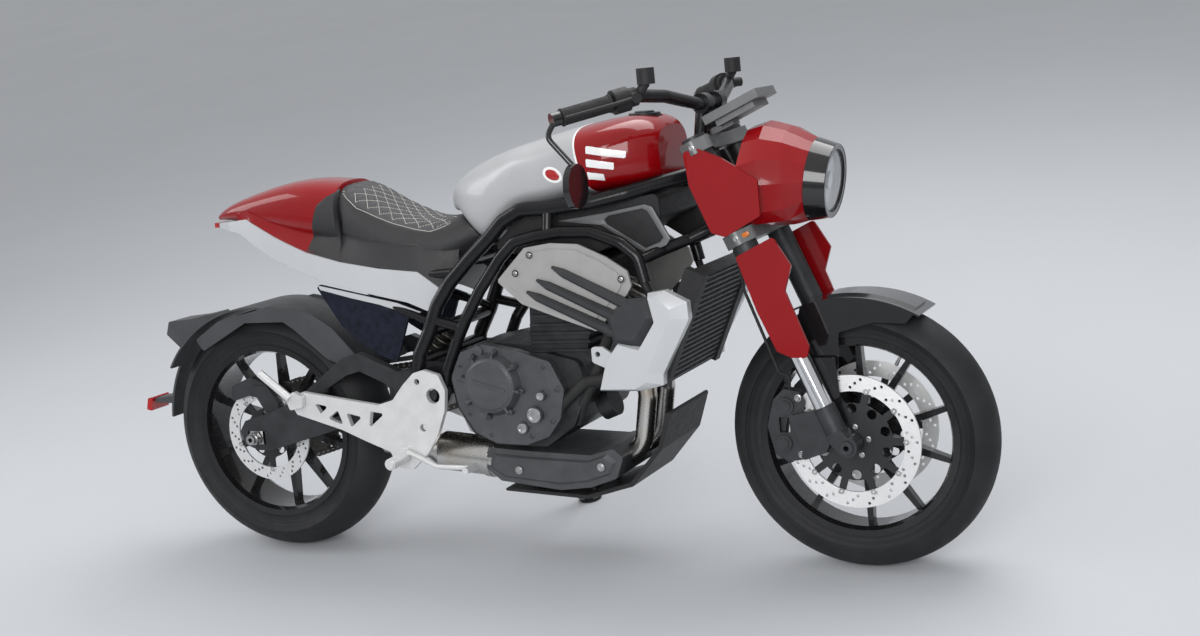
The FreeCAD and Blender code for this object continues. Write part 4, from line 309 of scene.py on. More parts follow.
FINISHES = {
    "red_paint": (finish, dict(colour="bodywork", roughness=0.32, coat=0.7, mottle=0.06, mottle_scale=6.0,
        swing=0.04, grain=0.04, grain_scale=1800.0, edge=0.0018, shine=0.1)),
    "tank_grey": (finish, dict(colour="tank_side", roughness=0.42, metallic=0.2, coat=0.35, mottle=0.05,
        mottle_scale=8.0, swing=0.05, grain=0.1, grain_scale=2400.0, edge=0.0015)),
    "silver_paint": (finish, dict(colour="band", roughness=0.34, metallic=0.15, coat=0.5, mottle=0.04,
        mottle_scale=5.0, swing=0.04, grain=0.04, grain_scale=1800.0, edge=0.0015)),
    "white_trim": (finish, dict(colour=(0.8, 0.8, 0.79), roughness=0.3, coat=0.6, mottle=0.03, grain=0.03,
        edge=0.0005)),
    "frame_black": (finish, dict(colour="tubes", roughness=0.26, coat=0.2, mottle=0.25, mottle_scale=14.0,
        swing=0.07, grain=0.25, grain_scale=900.0, edge=0.001, shine=0.2)),
    "engine_black": (finish, dict(colour=(0.03, 0.031, 0.033), roughness=0.46, metallic=0.45, mottle=0.3,
        mottle_scale=30.0, swing=0.1, grain=0.9, grain_scale=800.0, edge=0.0015)),
    "cover_grey": (finish, dict(colour=(0.1, 0.103, 0.11), roughness=0.36, metallic=0.65, mottle=0.12,
        mottle_scale=20.0, swing=0.08, grain=0.4, grain_scale=1100.0, edge=0.0018)),
    "guard_grey": (finish, dict(colour=(0.055, 0.057, 0.061), roughness=0.42, mottle=0.12,
        mottle_scale=12.0, swing=0.06, grain=0.35, grain_scale=1300.0, edge=0.0015)),
    "clamp_grey": (finish, dict(colour=(0.16, 0.162, 0.165), roughness=0.42, metallic=0.55, mottle=0.1,
        swing=0.07, grain=0.4, grain_scale=1300.0, edge=0.0015)),
    "box_grey": (finish, dict(colour=(0.07, 0.072, 0.076), roughness=0.45, metallic=0.3, mottle=0.12,
        swing=0.07, grain=0.5, grain_scale=1200.0, edge=0.0012)),
    "cast_alloy": (finish, dict(colour=(0.66, 0.66, 0.66), roughness=0.36, metallic=0.4, mottle=0.06,
        mottle_scale=30.0, swing=0.08, grain=0.5, grain_scale=1200.0, edge=0.0018)),
    "dark_alloy": (finish, dict(colour=(0.045, 0.047, 0.05), roughness=0.45, metallic=0.55, mottle=0.2,
        mottle_scale=22.0, swing=0.09, grain=0.45, grain_scale=1000.0, edge=0.0012)),
    "satin_plate": (finish, dict(colour=(0.32, 0.317, 0.31), roughness=0.42, metallic=0.2, mottle=0.05,
        swing=0.05, grain=0.3, grain_scale=1500.0, edge=0.0012)),
    "scoop_grey": (finish, dict(colour=(0.036, 0.037, 0.04), roughness=0.48, metallic=0.1, mottle=0.1,
        swing=0.06, grain=0.35, grain_scale=1500.0, edge=0.0015)),
    "bright_steel": (tinted_steel, dict(colour=(0.55, 0.54, 0.52), tint=(0.42, 0.33, 0.22))),
    "chrome": (finish, dict(colour=(0.72, 0.73, 0.74), roughness=0.09, metallic=1.0, mottle=0.03,
        swing=0.04, grain=0.03, grain_scale=1500.0, edge=0.0004)),
    "bolt_steel": (finish, dict(colour=(0.45, 0.45, 0.45), roughness=0.3, metallic=1.0, mottle=0.15,
        swing=0.08, grain=0.15, grain_scale=2000.0, edge=0.0003)),
    "seat_leather": (leather, dict(colour=(0.022, 0.022, 0.024))),
    "seat_insert": (leather, dict(colour=(0.085, 0.085, 0.09), grain_scale=900.0, roughness=0.7)),
    "thread": (finish, dict(colour=(0.55, 0.54, 0.5), roughness=0.7, mottle=0.15, mottle_scale=600.0,
        grain=0.6, grain_scale=3000.0, edge=0.0)),
    "navy_panel": (finish, dict(colour=(0.009, 0.011, 0.02), roughness=0.4, mottle=0.4, mottle_scale=60.0,
        swing=0.1, grain=0.8, grain_scale=500.0, edge=0.0015, shine=0.15)),
    "black_plastic": (finish, dict(colour=(0.018, 0.018, 0.019), roughness=0.52, mottle=0.2, swing=0.07,
        grain=0.6, grain_scale=1300.0, edge=0.001)),
    "gloss_black": (finish, dict(colour=(0.008, 0.008, 0.009), roughness=0.14, coat=0.8, mottle=0.2,
        mottle_scale=10.0, swing=0.05, grain=0.05, grain_scale=2200.0, edge=0.001)),
    "rubber": (finish, dict(colour=(0.02, 0.02, 0.02), roughness=0.62, mottle=0.25, swing=0.08, grain=0.5,
        grain_scale=1100.0, edge=0.0008)),
    "tyre": (finish, dict(colour=(0.016, 0.0165, 0.018), roughness=0.6, mottle=0.25, mottle_scale=10.0,
        swing=0.09, grain=0.8, grain_scale=620.0, edge=0.0)),
    "wheel_black": (finish, dict(colour=(0.012, 0.012, 0.013), roughness=0.26, metallic=0.3, coat=0.5,
        mottle=0.2, swing=0.06, grain=0.15, grain_scale=1400.0, edge=0.0015)),
    "front_disc_steel": (ground_disc, dict(colour=(0.72, 0.72, 0.72), carrier=(0.03, 0.031, 0.033),
        hub=FRONT_HUB, edge_radius=0.1118)),
    "rear_disc_steel": (ground_disc, dict(colour=(0.72, 0.72, 0.72), carrier=(0.03, 0.031, 0.033),
        hub=REAR_HUB, edge_radius=0.0898)),
    "lens": (glass, dict(colour=(0.96, 0.98, 1.0))),
    "mirror": (finish, dict(colour=(0.75, 0.77, 0.8), roughness=0.03, metallic=1.0, mottle=0.02,
        swing=0.01, edge=0.0)),
    "lamp_red": (finish, dict(colour=(0.35, 0.01, 0.01), roughness=0.15, coat=1.0, mottle=0.2,
        mottle_scale=200.0, swing=0.05, grain=0.3, grain_scale=400.0, edge=0.0006)),
    "amber": (finish, dict(colour=(0.55, 0.14, 0.01), roughness=0.2, coat=1.0, mottle=0.15,
        mottle_scale=300.0, grain=0.4, grain_scale=500.0, edge=0.0006)),
    "chain_steel": (finish, dict(colour=(0.11, 0.105, 0.095), roughness=0.38, metallic=0.9, mottle=0.35,
        mottle_scale=120.0, swing=0.12, grain=0.3, grain_scale=1500.0, edge=0.0005)),
    "reflector": (finish, dict(colour=(0.75, 0.76, 0.78), roughness=0.12, metallic=0.9, mottle=0.05,
        swing=0.04, edge=0.0)),
    "screen": (finish, dict(colour=(0.01, 0.011, 0.013), roughness=0.08, coat=1.0, mottle=0.1, swing=0.02,
        edge=0.0005)),
}

NODES_OF = {
    "frame_black": "frame subframe stand_bracket handlebar side_stand",
    "engine_black": "engine",
    "cover_grey": "engine_covers",
    "black_plastic": "airbox radiator belly_guard bar_controls",
    "tank_grey": "tank_rear",
    "red_paint": "tank_front tail_cowl fork_covers headlamp_shell",
    "dark_alloy": "filler_cap swingarm rear_caliper front_axle fork_tubes fork_feet front_calipers",
    "seat_leather": "seat",
    "silver_paint": "tail_band radiator_shrouds",
    "navy_panel": "under_panels",
    "satin_plate": "side_covers",
    "scoop_grey": "side_scoops",
    "bright_steel": "header_pipes exhaust_can",
    "box_grey": "silencer plate_holder",
    "cast_alloy": "footrest_plates pegs",
    "chain_steel": "rear_shock chain rear_sprocket",
    "bolt_steel": "rear_axle axle_blocks",
    "guard_grey": "rear_guards",
    "lamp_red": "rear_lamps",
    "wheel_black": "rear_wheel_rim front_wheel_rim",
    "tyre": "rear_tyre front_tyre",
    "rear_disc_steel": "rear_disc",
    "front_disc_steel": "front_discs",
    "clamp_grey": "fork_clamps dash",
    "chrome": "fork_sliders",
    "gloss_black": "headlamp_bezel mirrors front_mudguard",
    "lens": "headlamp_lens",
    "rubber": "grips coolant_hoses brake_hoses",
}
NODE_FINISH = {node: name for name, nodes in NODES_OF.items() for node in nodes.split()}


# Mesh helpers, in upright millimetres
SIDE_REACH = 400.0


def finish_piece(name, mesh, body, material, smooth_angle=35.0):
    """Object from an upright millimetre mesh, moved into the shared frame and riding on its body."""
    mesh.transform(TO_ROW)
    mesh.materials.append(material_for(material))
    piece = bpy.data.objects.new(name, mesh)
    bpy.context.scene.collection.objects.link(piece)
    mesh.shade_smooth()
    mesh.set_sharp_from_angle(angle=math.radians(smooth_angle))
    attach(piece, body)
    return piece


def mesh_of(builder):
    """Mesh from a bmesh, which is freed."""
    bmesh.ops.recalc_face_normals(builder, faces=builder.faces)
    mesh = bpy.data.meshes.new("piece")
    builder.to_mesh(mesh)
    builder.free()
    return mesh


def turn_to(direction):
    """Rotation that brings Z onto a direction."""
    return Vector((0.0, 0.0, 1.0)).rotation_difference(Vector(direction).normalized()).to_matrix().to_4x4()


def join_rows(builder, low, high, closed=True):
    """Faces between two rows of points, round a ring or open; a row of one point is a tip."""
    count = max(len(low), len(high))
    faces = []
    for k in range(count if closed else count - 1):
        after = (k + 1) % count
        if len(low) == 1:
            corners = (low[0], high[after], high[k])
        elif len(high) == 1:
            corners = (low[k], low[after], high[0])
        else:
            corners = (low[k], low[after], high[after], high[k])
        faces.append(builder.faces.new(corners))
    return faces


def turned(radius, turn):
    """Place on a circle, as two values."""
    return radius * math.cos(turn), radius * math.sin(turn)


def add_lathe(builder, base, direction, profile, segments=24):
    """Turned form about a line; the profile is radius, height pairs from one end to the other."""
    place = Matrix.Translation(Vector(base)) @ turn_to(direction)
    rings = []
    for radius, height in profile:
        if radius < 1e-6:
            rings.append([builder.verts.new(place @ Vector((0.0, 0.0, height)))])
            continue
        ring = []
        for k in range(segments):
            x, y = turned(radius, 2 * math.pi * k / segments)
            ring.append(builder.verts.new(place @ Vector((x, y, height))))
        rings.append(ring)
    for low, high in zip(rings, rings[1:]):
        join_rows(builder, low, high)


def add_bolt(builder, base, direction, radius, height):
    """Cap bolt with a washer, a rounded head and a six-sided socket."""
    washer = 0.22 * height
    rim = radius * 1.35
    socket = radius * 0.52
    add_lathe(builder, base, direction, [
        (0.0, 0.0), (rim, 0.0), (rim, washer * 0.8), (radius * 1.25, washer), (radius, washer),
        (radius, height * 0.85), (radius * 0.88, height), (socket, height)], 18)
    add_lathe(builder, base, direction, [
        (socket, height), (radius * 0.46, height * 0.55), (0.0, height * 0.55)], 6)


def add_tube(builder, points, radius, segments=10):
    """Round tube through smooth points."""
    rings = []
    side = None
    for i, spot in enumerate(points):
        before = points[max(0, i - 1)]
        after = points[min(len(points) - 1, i + 1)]
        along = (after - before).normalized()
        if side is None:
            side = along.orthogonal().normalized()
        else:
            side = (side - along * side.dot(along)).normalized()
        other = along.cross(side)
        ring = []
        for k in range(segments):
            a, b = turned(radius, 2 * math.pi * k / segments)
            ring.append(builder.verts.new(spot + side * a + other * b))
        rings.append(ring)
    for low, high in zip(rings, rings[1:]):
        join_rows(builder, low, high)
    builder.faces.new(list(reversed(rings[0])))
    builder.faces.new(rings[-1])


def round_edges(builder, edges, size):
    """Rounds a set of edges by a size."""
    bmesh.ops.bevel(builder, geom=list(edges), offset=size, segments=2, profile=0.6, affect="EDGES")


def add_slab(builder, outline, y_low, y_high, chamfer=0.8):
    """Plate with chamfered edges from an outline of x, z pairs."""
    near = [builder.verts.new((x, y_low, z)) for x, z in outline]
    far = [builder.verts.new((x, y_high, z)) for x, z in outline]
    made = [builder.faces.new(near), builder.faces.new(list(reversed(far)))]
    made += join_rows(builder, near, far)
    round_edges(builder, {edge for face in made for edge in face.edges}, chamfer)


def add_frame(builder, outer, inner, y_low, y_high, chamfer=0.8):
    """Flat frame round a window, from two outlines of x, z pairs with equal counts."""
    rings = []
    for outline, y in ((outer, y_low), (outer, y_high), (inner, y_high), (inner, y_low)):
        rings.append([builder.verts.new((x, y, z)) for x, z in outline])
    made = []
    for low, high in zip(rings, rings[1:] + rings[:1]):
        made += join_rows(builder, low, high)
    corners = [edge for face in made for edge in face.edges if edge.verts[0].co.y == edge.verts[1].co.y]
    round_edges(builder, set(corners), chamfer)


def add_box(builder, place, size, chamfer=1.0):
    """Block with rounded edges, whose matrix gives its middle and directions."""
    made = bmesh.ops.create_cube(builder, size=1.0)
    edges = {edge for vert in made["verts"] for edge in vert.link_edges}
    for vert in made["verts"]:
        vert.co = place @ Vector((vert.co.x * size[0], vert.co.y * size[1], vert.co.z * size[2]))
    round_edges(builder, edges, chamfer)


def node_tree(*names):
    """Search tree over the surface of CAD nodes, in upright millimetres."""
    verts = []
    faces = []
    for name in names:
        mesh = frame["nodes"][name].data
        first = len(verts)
        verts += [TO_UPRIGHT @ vert.co for vert in mesh.vertices]
        faces += [tuple(index + first for index in face.vertices) for face in mesh.polygons]
    return BVHTree.FromPolygons(verts, faces)


def seat_on(tree, place, direction):
    """Where a line first meets a surface, or None."""
    return tree.ray_cast(Vector(place), Vector(direction).normalized())[0]


def side_seat(tree, x, z, side):
    """Where a surface is first met from the left or right at x and z, or None."""
    return seat_on(tree, (x, side * SIDE_REACH, z), (0.0, -side, 0.0))


def bolt_row(builder, tree, spots, side, radius, height):
    """Cap bolts pointing out to one side, each seated on the surface found below it."""
    for x, z in spots:
        seat = side_seat(tree, x, z, side)
        if seat is not None:
            add_bolt(builder, seat - Vector((0.0, side * 0.3, 0.0)), (0.0, side, 0.0), radius, height)


# Settings
def colour_setting(name, description, default):
    """Colour that the panel offers."""
    return bpy.props.FloatVectorProperty(
        name=name, description=description, subtype="COLOR", size=3, min=0.0, max=1.0, default=default)


def length_setting(name, description, low, high, default):
    """Length that the panel offers, in metres."""
    return bpy.props.FloatProperty(
        name=name, description=description, subtype="DISTANCE", unit="LENGTH", min=low, max=high,
        default=default)


class RacerPaint(bpy.types.PropertyGroup):
    """Colours of the bodywork."""

    bodywork: colour_setting(
        "Bodywork", "Paint of the tank's front, tail cowl, fork covers and headlamp cowl",
        (0.23, 0.001, 0.003))
    tank_side: colour_setting("Tank rear", "Paint of the tank's rear part", (0.41, 0.415, 0.425))
    band: colour_setting(
        "Tail band", "Paint of the band under the seat and of the radiator shrouds", (0.5, 0.51, 0.525))
    tubes: colour_setting("Frame", "Paint of the frame tubes", (0.007, 0.007, 0.008))


class RacerSeat(bpy.types.PropertyGroup):
    """Sizes of the quilted seat."""

    quilt_pitch: length_setting("Quilt pitch", "Width of one diamond of the quilting", 0.01, 0.06, 0.036)
    quilt_depth: length_setting("Quilt depth", "How far the seams pull in", 0.0, 0.008, 0.0028)
    stitch_length: length_setting("Stitch length", "Length of one stitch", 0.002, 0.01, 0.0042)


class RacerTyres(bpy.types.PropertyGroup):
    """Sizes of the tyres' moulded lines."""

    ring_height: length_setting("Ring height", "Height of the rings on the side walls", 0.0, 0.002, 0.0008)
    seam_height: length_setting(
        "Mould line", "Height of the fine mould lines on the tread", 0.0, 0.001, 0.0003)


class RacerStage(bpy.types.PropertyGroup):
    """Light and floor of the studio."""

    lamp_power: bpy.props.FloatProperty(
        name="Key lamp", description="Power of the large lamp over the bike", subtype="POWER", unit="POWER",
        min=0.0, max=1000.0, default=110.0)
    sky: bpy.props.FloatProperty(
        name="Room light", description="Strength of the even light of the room",
        min=0.0, max=2.0, default=0.7)
    floor: colour_setting("Floor", "Colour of the studio floor", (0.46, 0.475, 0.5))


class RACER_OT_finishes(bpy.types.Operator):
    """Give every CAD part its finish"""

    bl_idname = "racer.finishes"
    bl_label = "Finishes"

    def execute(self, context):
        for name, node in frame["nodes"].items():
            material = material_for(NODE_FINISH.get(name, "black_plastic"))
            if not node.material_slots:
                node.data.materials.append(material)
            for slot in node.material_slots:
                slot.material = material
        return {"FINISHED"}


# Padded seat
SEAT_VOXEL = 0.005
SEAT_SHRINK = 0.0025
INSERT_FRONT_X = 598.0
INSERT_REAR_X = 306.0
INSERT_HALF_FRONT = 94.0
INSERT_HALF_REAR = 96.0
INSERT_FACING = 0.15
QUILT_BORDER = 9.0
QUILT_FADE = 7.0
PUFF_FRAMES = 12
PUFF_MOST = 0.005
ARC_PER_X = 0.86
ARC_PER_Z = 0.5
ARC_LEVEL = 830.0
ABOVE_SEAT = 1200.0
THREAD_R = 0.62
THREAD_RISE = 0.75
EDGE_STITCHES = 95


def insert_half(x):
    """Half width of the quilted insert at a place along the seat."""
    share = (x - INSERT_REAR_X) / (INSERT_FRONT_X - INSERT_REAR_X)
    share = min(1.0, max(0.0, share))
    narrowed = INSERT_HALF_REAR + (INSERT_HALF_FRONT - INSERT_HALF_REAR) * share
    round_off = min(1.0, 6.0 * share) * min(1.0, 6.0 * (1.0 - share))
    return narrowed * (0.72 + 0.28 * math.sqrt(max(0.0, round_off)))


def inside_insert(x, y):
    """How far inside the insert's edge a place is, in millimetres, negative outside."""
    return min(insert_half(x) - abs(y), x - INSERT_REAR_X, INSERT_FRONT_X - x)


def seat_arc(x, z):
    """Distance along the seat's rising top, growing towards the front."""
    return x * ARC_PER_X - (z - ARC_LEVEL) * ARC_PER_Z


def seat_top(tree, x, y):
    """Highest place of the seat at x and y, or None."""
    return seat_on(tree, (x, y, ABOVE_SEAT), (0.0, 0.0, -1.0))


def evaluated_mesh(piece):
    """Copy of a piece's mesh as its modifiers make it."""
    depsgraph = bpy.context.evaluated_depsgraph_get()
    return bpy.data.meshes.new_from_object(piece.evaluated_get(depsgraph))


def keep_modifiers(piece):
    """Gives a piece the mesh that its modifiers make, and removes them."""
    mesh = evaluated_mesh(piece)
    piece.modifiers.clear()
    piece.data = mesh
    return mesh


def quilt_height(along, y, pitch):
    """Height of a quilted diamond from 0 in its seams to 1 in its middle."""
    level = 1.0
    for reach in ((along + y) / pitch, (along - y) / pitch):
        level *= min(1.0, 1.6 * abs(math.sin(math.pi * reach)))
    return level


def puff(piece):
    """Fills the seat with air by a short cloth run and keeps the result."""
    cloth = piece.modifiers.new("puff", "CLOTH")
    cloth.settings.use_pressure = True
    cloth.settings.uniform_pressure_force = 3.0
    cloth.settings.effector_weights.gravity = 0.0
    cloth.settings.quality = 4
    scene = bpy.context.scene
    cloth.point_cache.frame_start = 1
    cloth.point_cache.frame_end = PUFF_FRAMES
    for number in range(1, PUFF_FRAMES + 1):
        scene.frame_set(number)
    mesh = evaluated_mesh(piece)
    piece.modifiers.remove(cloth)
    scene.frame_set(1)
    return mesh


class RACER_OT_seat(bpy.types.Operator):
    """Build the padded leather seat with its quilted insert"""

    bl_idname = "racer.seat"
    bl_label = "Seat"

    def execute(self, context):
        settings = context.scene.racer_seat
        pitch = settings.quilt_pitch / MM
        piece = self.padding(context)
        self.press_quilting(piece.data, settings.quilt_depth, pitch)
        self.colour_insert(piece.data)
        piece.data.shade_smooth()
        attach(piece, "chassis")
        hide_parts("seat")
        self.add_thread(piece, pitch, settings.stitch_length / MM)
        return {"FINISHED"}

    def padding(self, context):
        """The seat with even faces, softened, filled with air and made finer."""
        piece = bpy.data.objects.new("seat_padding", frame["nodes"]["seat"].data.copy())
        context.scene.collection.objects.link(piece)
        remesh = piece.modifiers.new("even", "REMESH")
        remesh.mode = "VOXEL"
        remesh.voxel_size = SEAT_VOXEL
        smooth = piece.modifiers.new("soften", "SMOOTH")
        smooth.factor = 0.5
        smooth.iterations = 6
        mesh = keep_modifiers(piece)
        for vert in mesh.vertices:
            vert.co = vert.co - vert.normal * SEAT_SHRINK
        rest = [vert.co.copy() for vert in mesh.vertices]
        puffed = puff(piece)
        for place, vert, swollen in zip(rest, mesh.vertices, puffed.vertices):
            move = swollen.co - place
            if move.length > PUFF_MOST:
                move = move.normalized() * PUFF_MOST
            vert.co = place + move
        divide = piece.modifiers.new("finer", "SUBSURF")
        divide.levels = 1
        divide.render_levels = 1
        keep_modifiers(piece)
        return piece

    def press_quilting(self, mesh, depth, pitch):
        """Pulls the seams of the quilting in, up to a smooth border round the insert."""
        upright = TO_UPRIGHT.to_3x3()
        for vert in mesh.vertices:
            spot = TO_UPRIGHT @ vert.co
            facing = upright @ vert.normal
            inside = inside_insert(spot.x, spot.y)
            if inside > -QUILT_BORDER and facing.normalized().z > INSERT_FACING:
                level = quilt_height(seat_arc(spot.x, spot.z), spot.y, pitch)
                if inside < 0:
                    level = min(1.0, -inside / QUILT_BORDER)
                elif inside < QUILT_FADE:
                    level = min(level, inside / QUILT_FADE)
                vert.co = vert.co - vert.normal * depth * (1.0 - level)

    def colour_insert(self, mesh):
        """Gives the top of the insert its own leather."""
        mesh.materials.clear()
        mesh.materials.append(material_for("seat_leather"))
        mesh.materials.append(material_for("seat_insert"))
        upright = TO_UPRIGHT.to_3x3()
        for face in mesh.polygons:
            spot = TO_UPRIGHT @ face.center
            facing = (upright @ face.normal).normalized()
            inside = inside_insert(spot.x, spot.y) > 0.5 and facing.z > INSERT_FACING
            face.material_index = 1 if inside else 0

    def add_thread(self, piece, pitch, length):
        """Stitches along the quilting seams and round the insert."""
        verts = [TO_UPRIGHT @ vert.co for vert in piece.data.vertices]
        tree = BVHTree.FromPolygons(verts, [tuple(face.vertices) for face in piece.data.polygons])
        builder = bmesh.new()
        for kind in (1, -1):
            for number in range(-40, 60):
                line = self.seam_line(tree, number * pitch, kind, length)
                for start in line:
                    direction = self.seam_direction(start, line)
                    if direction is not None:
                        self.add_stitch(builder, tree, start, direction, length)
        for k in range(EDGE_STITCHES):
            x = INSERT_REAR_X + (INSERT_FRONT_X - INSERT_REAR_X) * (k / EDGE_STITCHES)
            for side in (1, -1):
                start = (x, side * (insert_half(x) + 4.0))
                self.add_stitch(builder, tree, start, Vector((1.0, 0.0, 0.0)), length)
        finish_piece("seat_thread", mesh_of(builder), "chassis", "thread")

    def seam_line(self, tree, begin, kind, length):
        """Places of the stitches on one seam across the insert, as x and y."""
        line = []
        reach = -INSERT_HALF_REAR
        while reach < INSERT_HALF_REAR:
            along = begin - kind * reach
            x = along / ARC_PER_X
            for _ in range(4):
                hit = seat_top(tree, x, reach)
                if hit is None:
                    break
                x -= (seat_arc(x, hit.z) - along) / 1.1
            if hit is not None and inside_insert(x, reach) > 5.0:
                line.append((x, reach))
            reach += length * 1.55 * 0.62
        return line

    def seam_direction(self, start, line):
        """Direction of a seam at one of its places."""
        place = line.index(start)
        other = line[place + 1] if place + 1 < len(line) else line[place - 1]
        if other == start:
            return None
        step = Vector((other[0] - start[0], other[1] - start[1], 0.0))
        if step.length > 25.0 or step.length < 0.01:
            return None
        return step.normalized()

    def add_stitch(self, builder, tree, start, direction, length):
        """One short thread lying on the leather."""
        ends = []
        for share in (-0.5, 0.5):
            x = start[0] + direction.x * length * share
            y = start[1] + direction.y * length * share
            hit = seat_top(tree, x, y)
            if hit is None:
                return
            ends.append(hit)
        middle = (ends[0] + ends[1]) / 2 + Vector((0.0, 0.0, THREAD_RISE))
        add_tube(builder, [ends[0], middle, ends[1]], THREAD_R, 6)


# Tail
BAND_TOP = ((-60.0, 853.0), (14.0, 860.0), (106.0, 814.0), (204.0, 773.0), (302.0, 747.0), (414.0, 728.0),
            (524.0, 717.0), (582.0, 676.0))
BAND_HALF = ((-120.0, 24.0), (-60.0, 60.0), (30.0, 90.0), (150.0, 112.0), (330.0, 126.0), (480.0, 134.0),
             (640.0, 140.0))
WRAP_EDGE = ((198.0, 771.0), (217.0, 820.0), (233.0, 863.0), (244.0, 888.0), (270.0, 908.0), (297.0, 921.0))
SKIRT_HEIGHT = ((-20.0, 20.0), (100.0, 32.0), (236.0, 48.0), (300.0, 60.0), (420.0, 62.0), (540.0, 64.0),
                (576.0, 84.0))
STRIP = ((233.0, 692.0), (330.0, 670.5), (451.0, 643.5), (517.0, 619.5), (482.0, 608.0), (466.0, 621.0),
         (400.0, 641.0), (330.0, 657.0), (238.0, 681.0))
BAND_WALL_MIDDLE = 2.5
SKIRT_SINK = 3.0
SKIRT_STEP = 4.0
SKIRT_ROWS = 26
SKIRT_LIFT = 1.6
SKIRT_OVERLAP = 4.0
SKIRT_TUCK = 3.0
SKIRT_BEND = 1.4
SKIRT_AVERAGED = 3


def along_line(line, x):
    """Second value of a rising line of pairs at a first value."""
    for (low, first), (high, second) in zip(line, line[1:]):
        if low <= x <= high:
            return first + (second - first) * (x - low) / (high - low)
    return line[0][1] if x < line[0][0] else line[-1][1]


class RACER_OT_tail(bpy.types.Operator):
    """Close the seat's and cowl's sides down to the band, and add the light strip below it"""

    bl_idname = "racer.tail"
    bl_label = "Tail sides"

    def execute(self, context):
        tree = node_tree("seat", "tail_cowl")
        leather_side = bmesh.new()
        red_side = bmesh.new()
        strip = bmesh.new()
        for side in (1, -1):
            self.add_skirt(leather_side, tree, side, WRAP_EDGE[0][0], 620.0, True)
            self.add_skirt(red_side, tree, side, -20.0, 236.0, False)
            low, high = sorted((side * 122.6, side * 125.0))
            add_slab(strip, STRIP, low, high, 0.7)
        finish_piece("seat_sides", mesh_of(leather_side), "chassis", "seat_leather")
        finish_piece("cowl_sides", mesh_of(red_side), "chassis", "red_paint")
        finish_piece("panel_strips", mesh_of(strip), "chassis", "silver_paint")
        return {"FINISHED"}

    def add_skirt(self, builder, tree, side, start, end, wrapped):
        """Side surface from the band's top edge to the widest line, or to the seat's edge on the cowl."""
        count = int((end - start) / SKIRT_STEP)
        places = [start + (end - start) * i / count for i in range(count + 1)]
        lows = [along_line(BAND_TOP, x) - SKIRT_SINK for x in places]
        joins = [low + along_line(SKIRT_HEIGHT, x) for x, low in zip(places, lows)]
        widths = []
        for x, join in zip(places, joins):
            hit = side_seat(tree, x, join, side)
            widths.append(abs(hit.y) if hit is not None and hit.y * side > 60.0 else widths[-1])
        columns = []
        for i, x in enumerate(places):
            near = widths[max(0, i - SKIRT_AVERAGED):i + SKIRT_AVERAGED + 1]
            width = sum(near) / len(near)
            foot = along_line(BAND_HALF, x) - BAND_WALL_MIDDLE
            top = joins[i] + SKIRT_OVERLAP
            if wrapped and x < WRAP_EDGE[-1][0]:
                top = max(lows[i] + 1.0, along_line(WRAP_EDGE, x))
            column = []
            for j in range(SKIRT_ROWS + 1):
                z = lows[i] + (top - lows[i]) * j / SKIRT_ROWS
                y = width
                if z > joins[i]:
                    hit = side_seat(tree, x, z, side)
                    y = abs(hit.y) if hit is not None and hit.y * side > 20.0 else width
                share = max(0.0, (joins[i] - z) / (joins[i] - lows[i]))
                lift = SKIRT_LIFT if x < WRAP_EDGE[-1][0] else 0.0
                if j == SKIRT_ROWS:
                    lift -= SKIRT_TUCK
                y = y + lift + (foot - y - lift) * share ** SKIRT_BEND
                column.append(builder.verts.new((x, side * y, z)))
            columns.append(column)
        for near, far in zip(columns, columns[1:]):
            join_rows(builder, far, near, closed=False)


# Tyres
TYRE_SHOULDER = 0.62
RIM_FLANGE_RADIUS = 232.0
TYRE_BEAD_R = 216.3
TYRE_LIP_R = 224.3
BEAD_INSET = 4.3
TYRE_SEGMENTS = 260
SIDE_RINGS = (236.0, 241.0, 252.0)
MOULD_LINE_EVERY = 26
MOULD_LINE_REACH = 24
FRONT_TYRE = (FRONT_RADIUS, 60.0, 47.0)
REAR_TYRE = (REAR_RADIUS, 80.0, 66.0)


def arc_between(centre, radius, start, end, steps):
    """Places on an arc in a plane, both ends included."""
    turns = [start + (end - start) * k / steps for k in range(steps + 1)]
    return [(centre[0] + radius * math.cos(turn), centre[1] + radius * math.sin(turn)) for turn in turns]


def tyre_profile(radius, half, rim_half):
    """Half of the tyre's section from the crown to the bead, as y and radius."""
    side_r = radius - TYRE_SHOULDER * (radius - RIM_FLANGE_RADIUS)
    rise = radius - side_r
    crown_r = (half ** 2 + rise ** 2) / (2 * rise)
    reach_turn = math.asin(half / crown_r)
    crown = arc_between((0.0, radius - crown_r), crown_r, math.pi / 2, math.pi / 2 - reach_turn, 30)
    bead_y = rim_half - BEAD_INSET
    reach = half - bead_y
    wall_rise = side_r - TYRE_LIP_R
    wall_r = (reach ** 2 + wall_rise ** 2) / (2 * reach)
    wall_turn = math.atan2(wall_rise, wall_r - reach)
    middle = (bead_y + wall_r, TYRE_LIP_R)
    wall = arc_between(middle, wall_r, math.pi - wall_turn, math.pi, 34)
    return crown + wall[1:] + [(bead_y, TYRE_BEAD_R)]


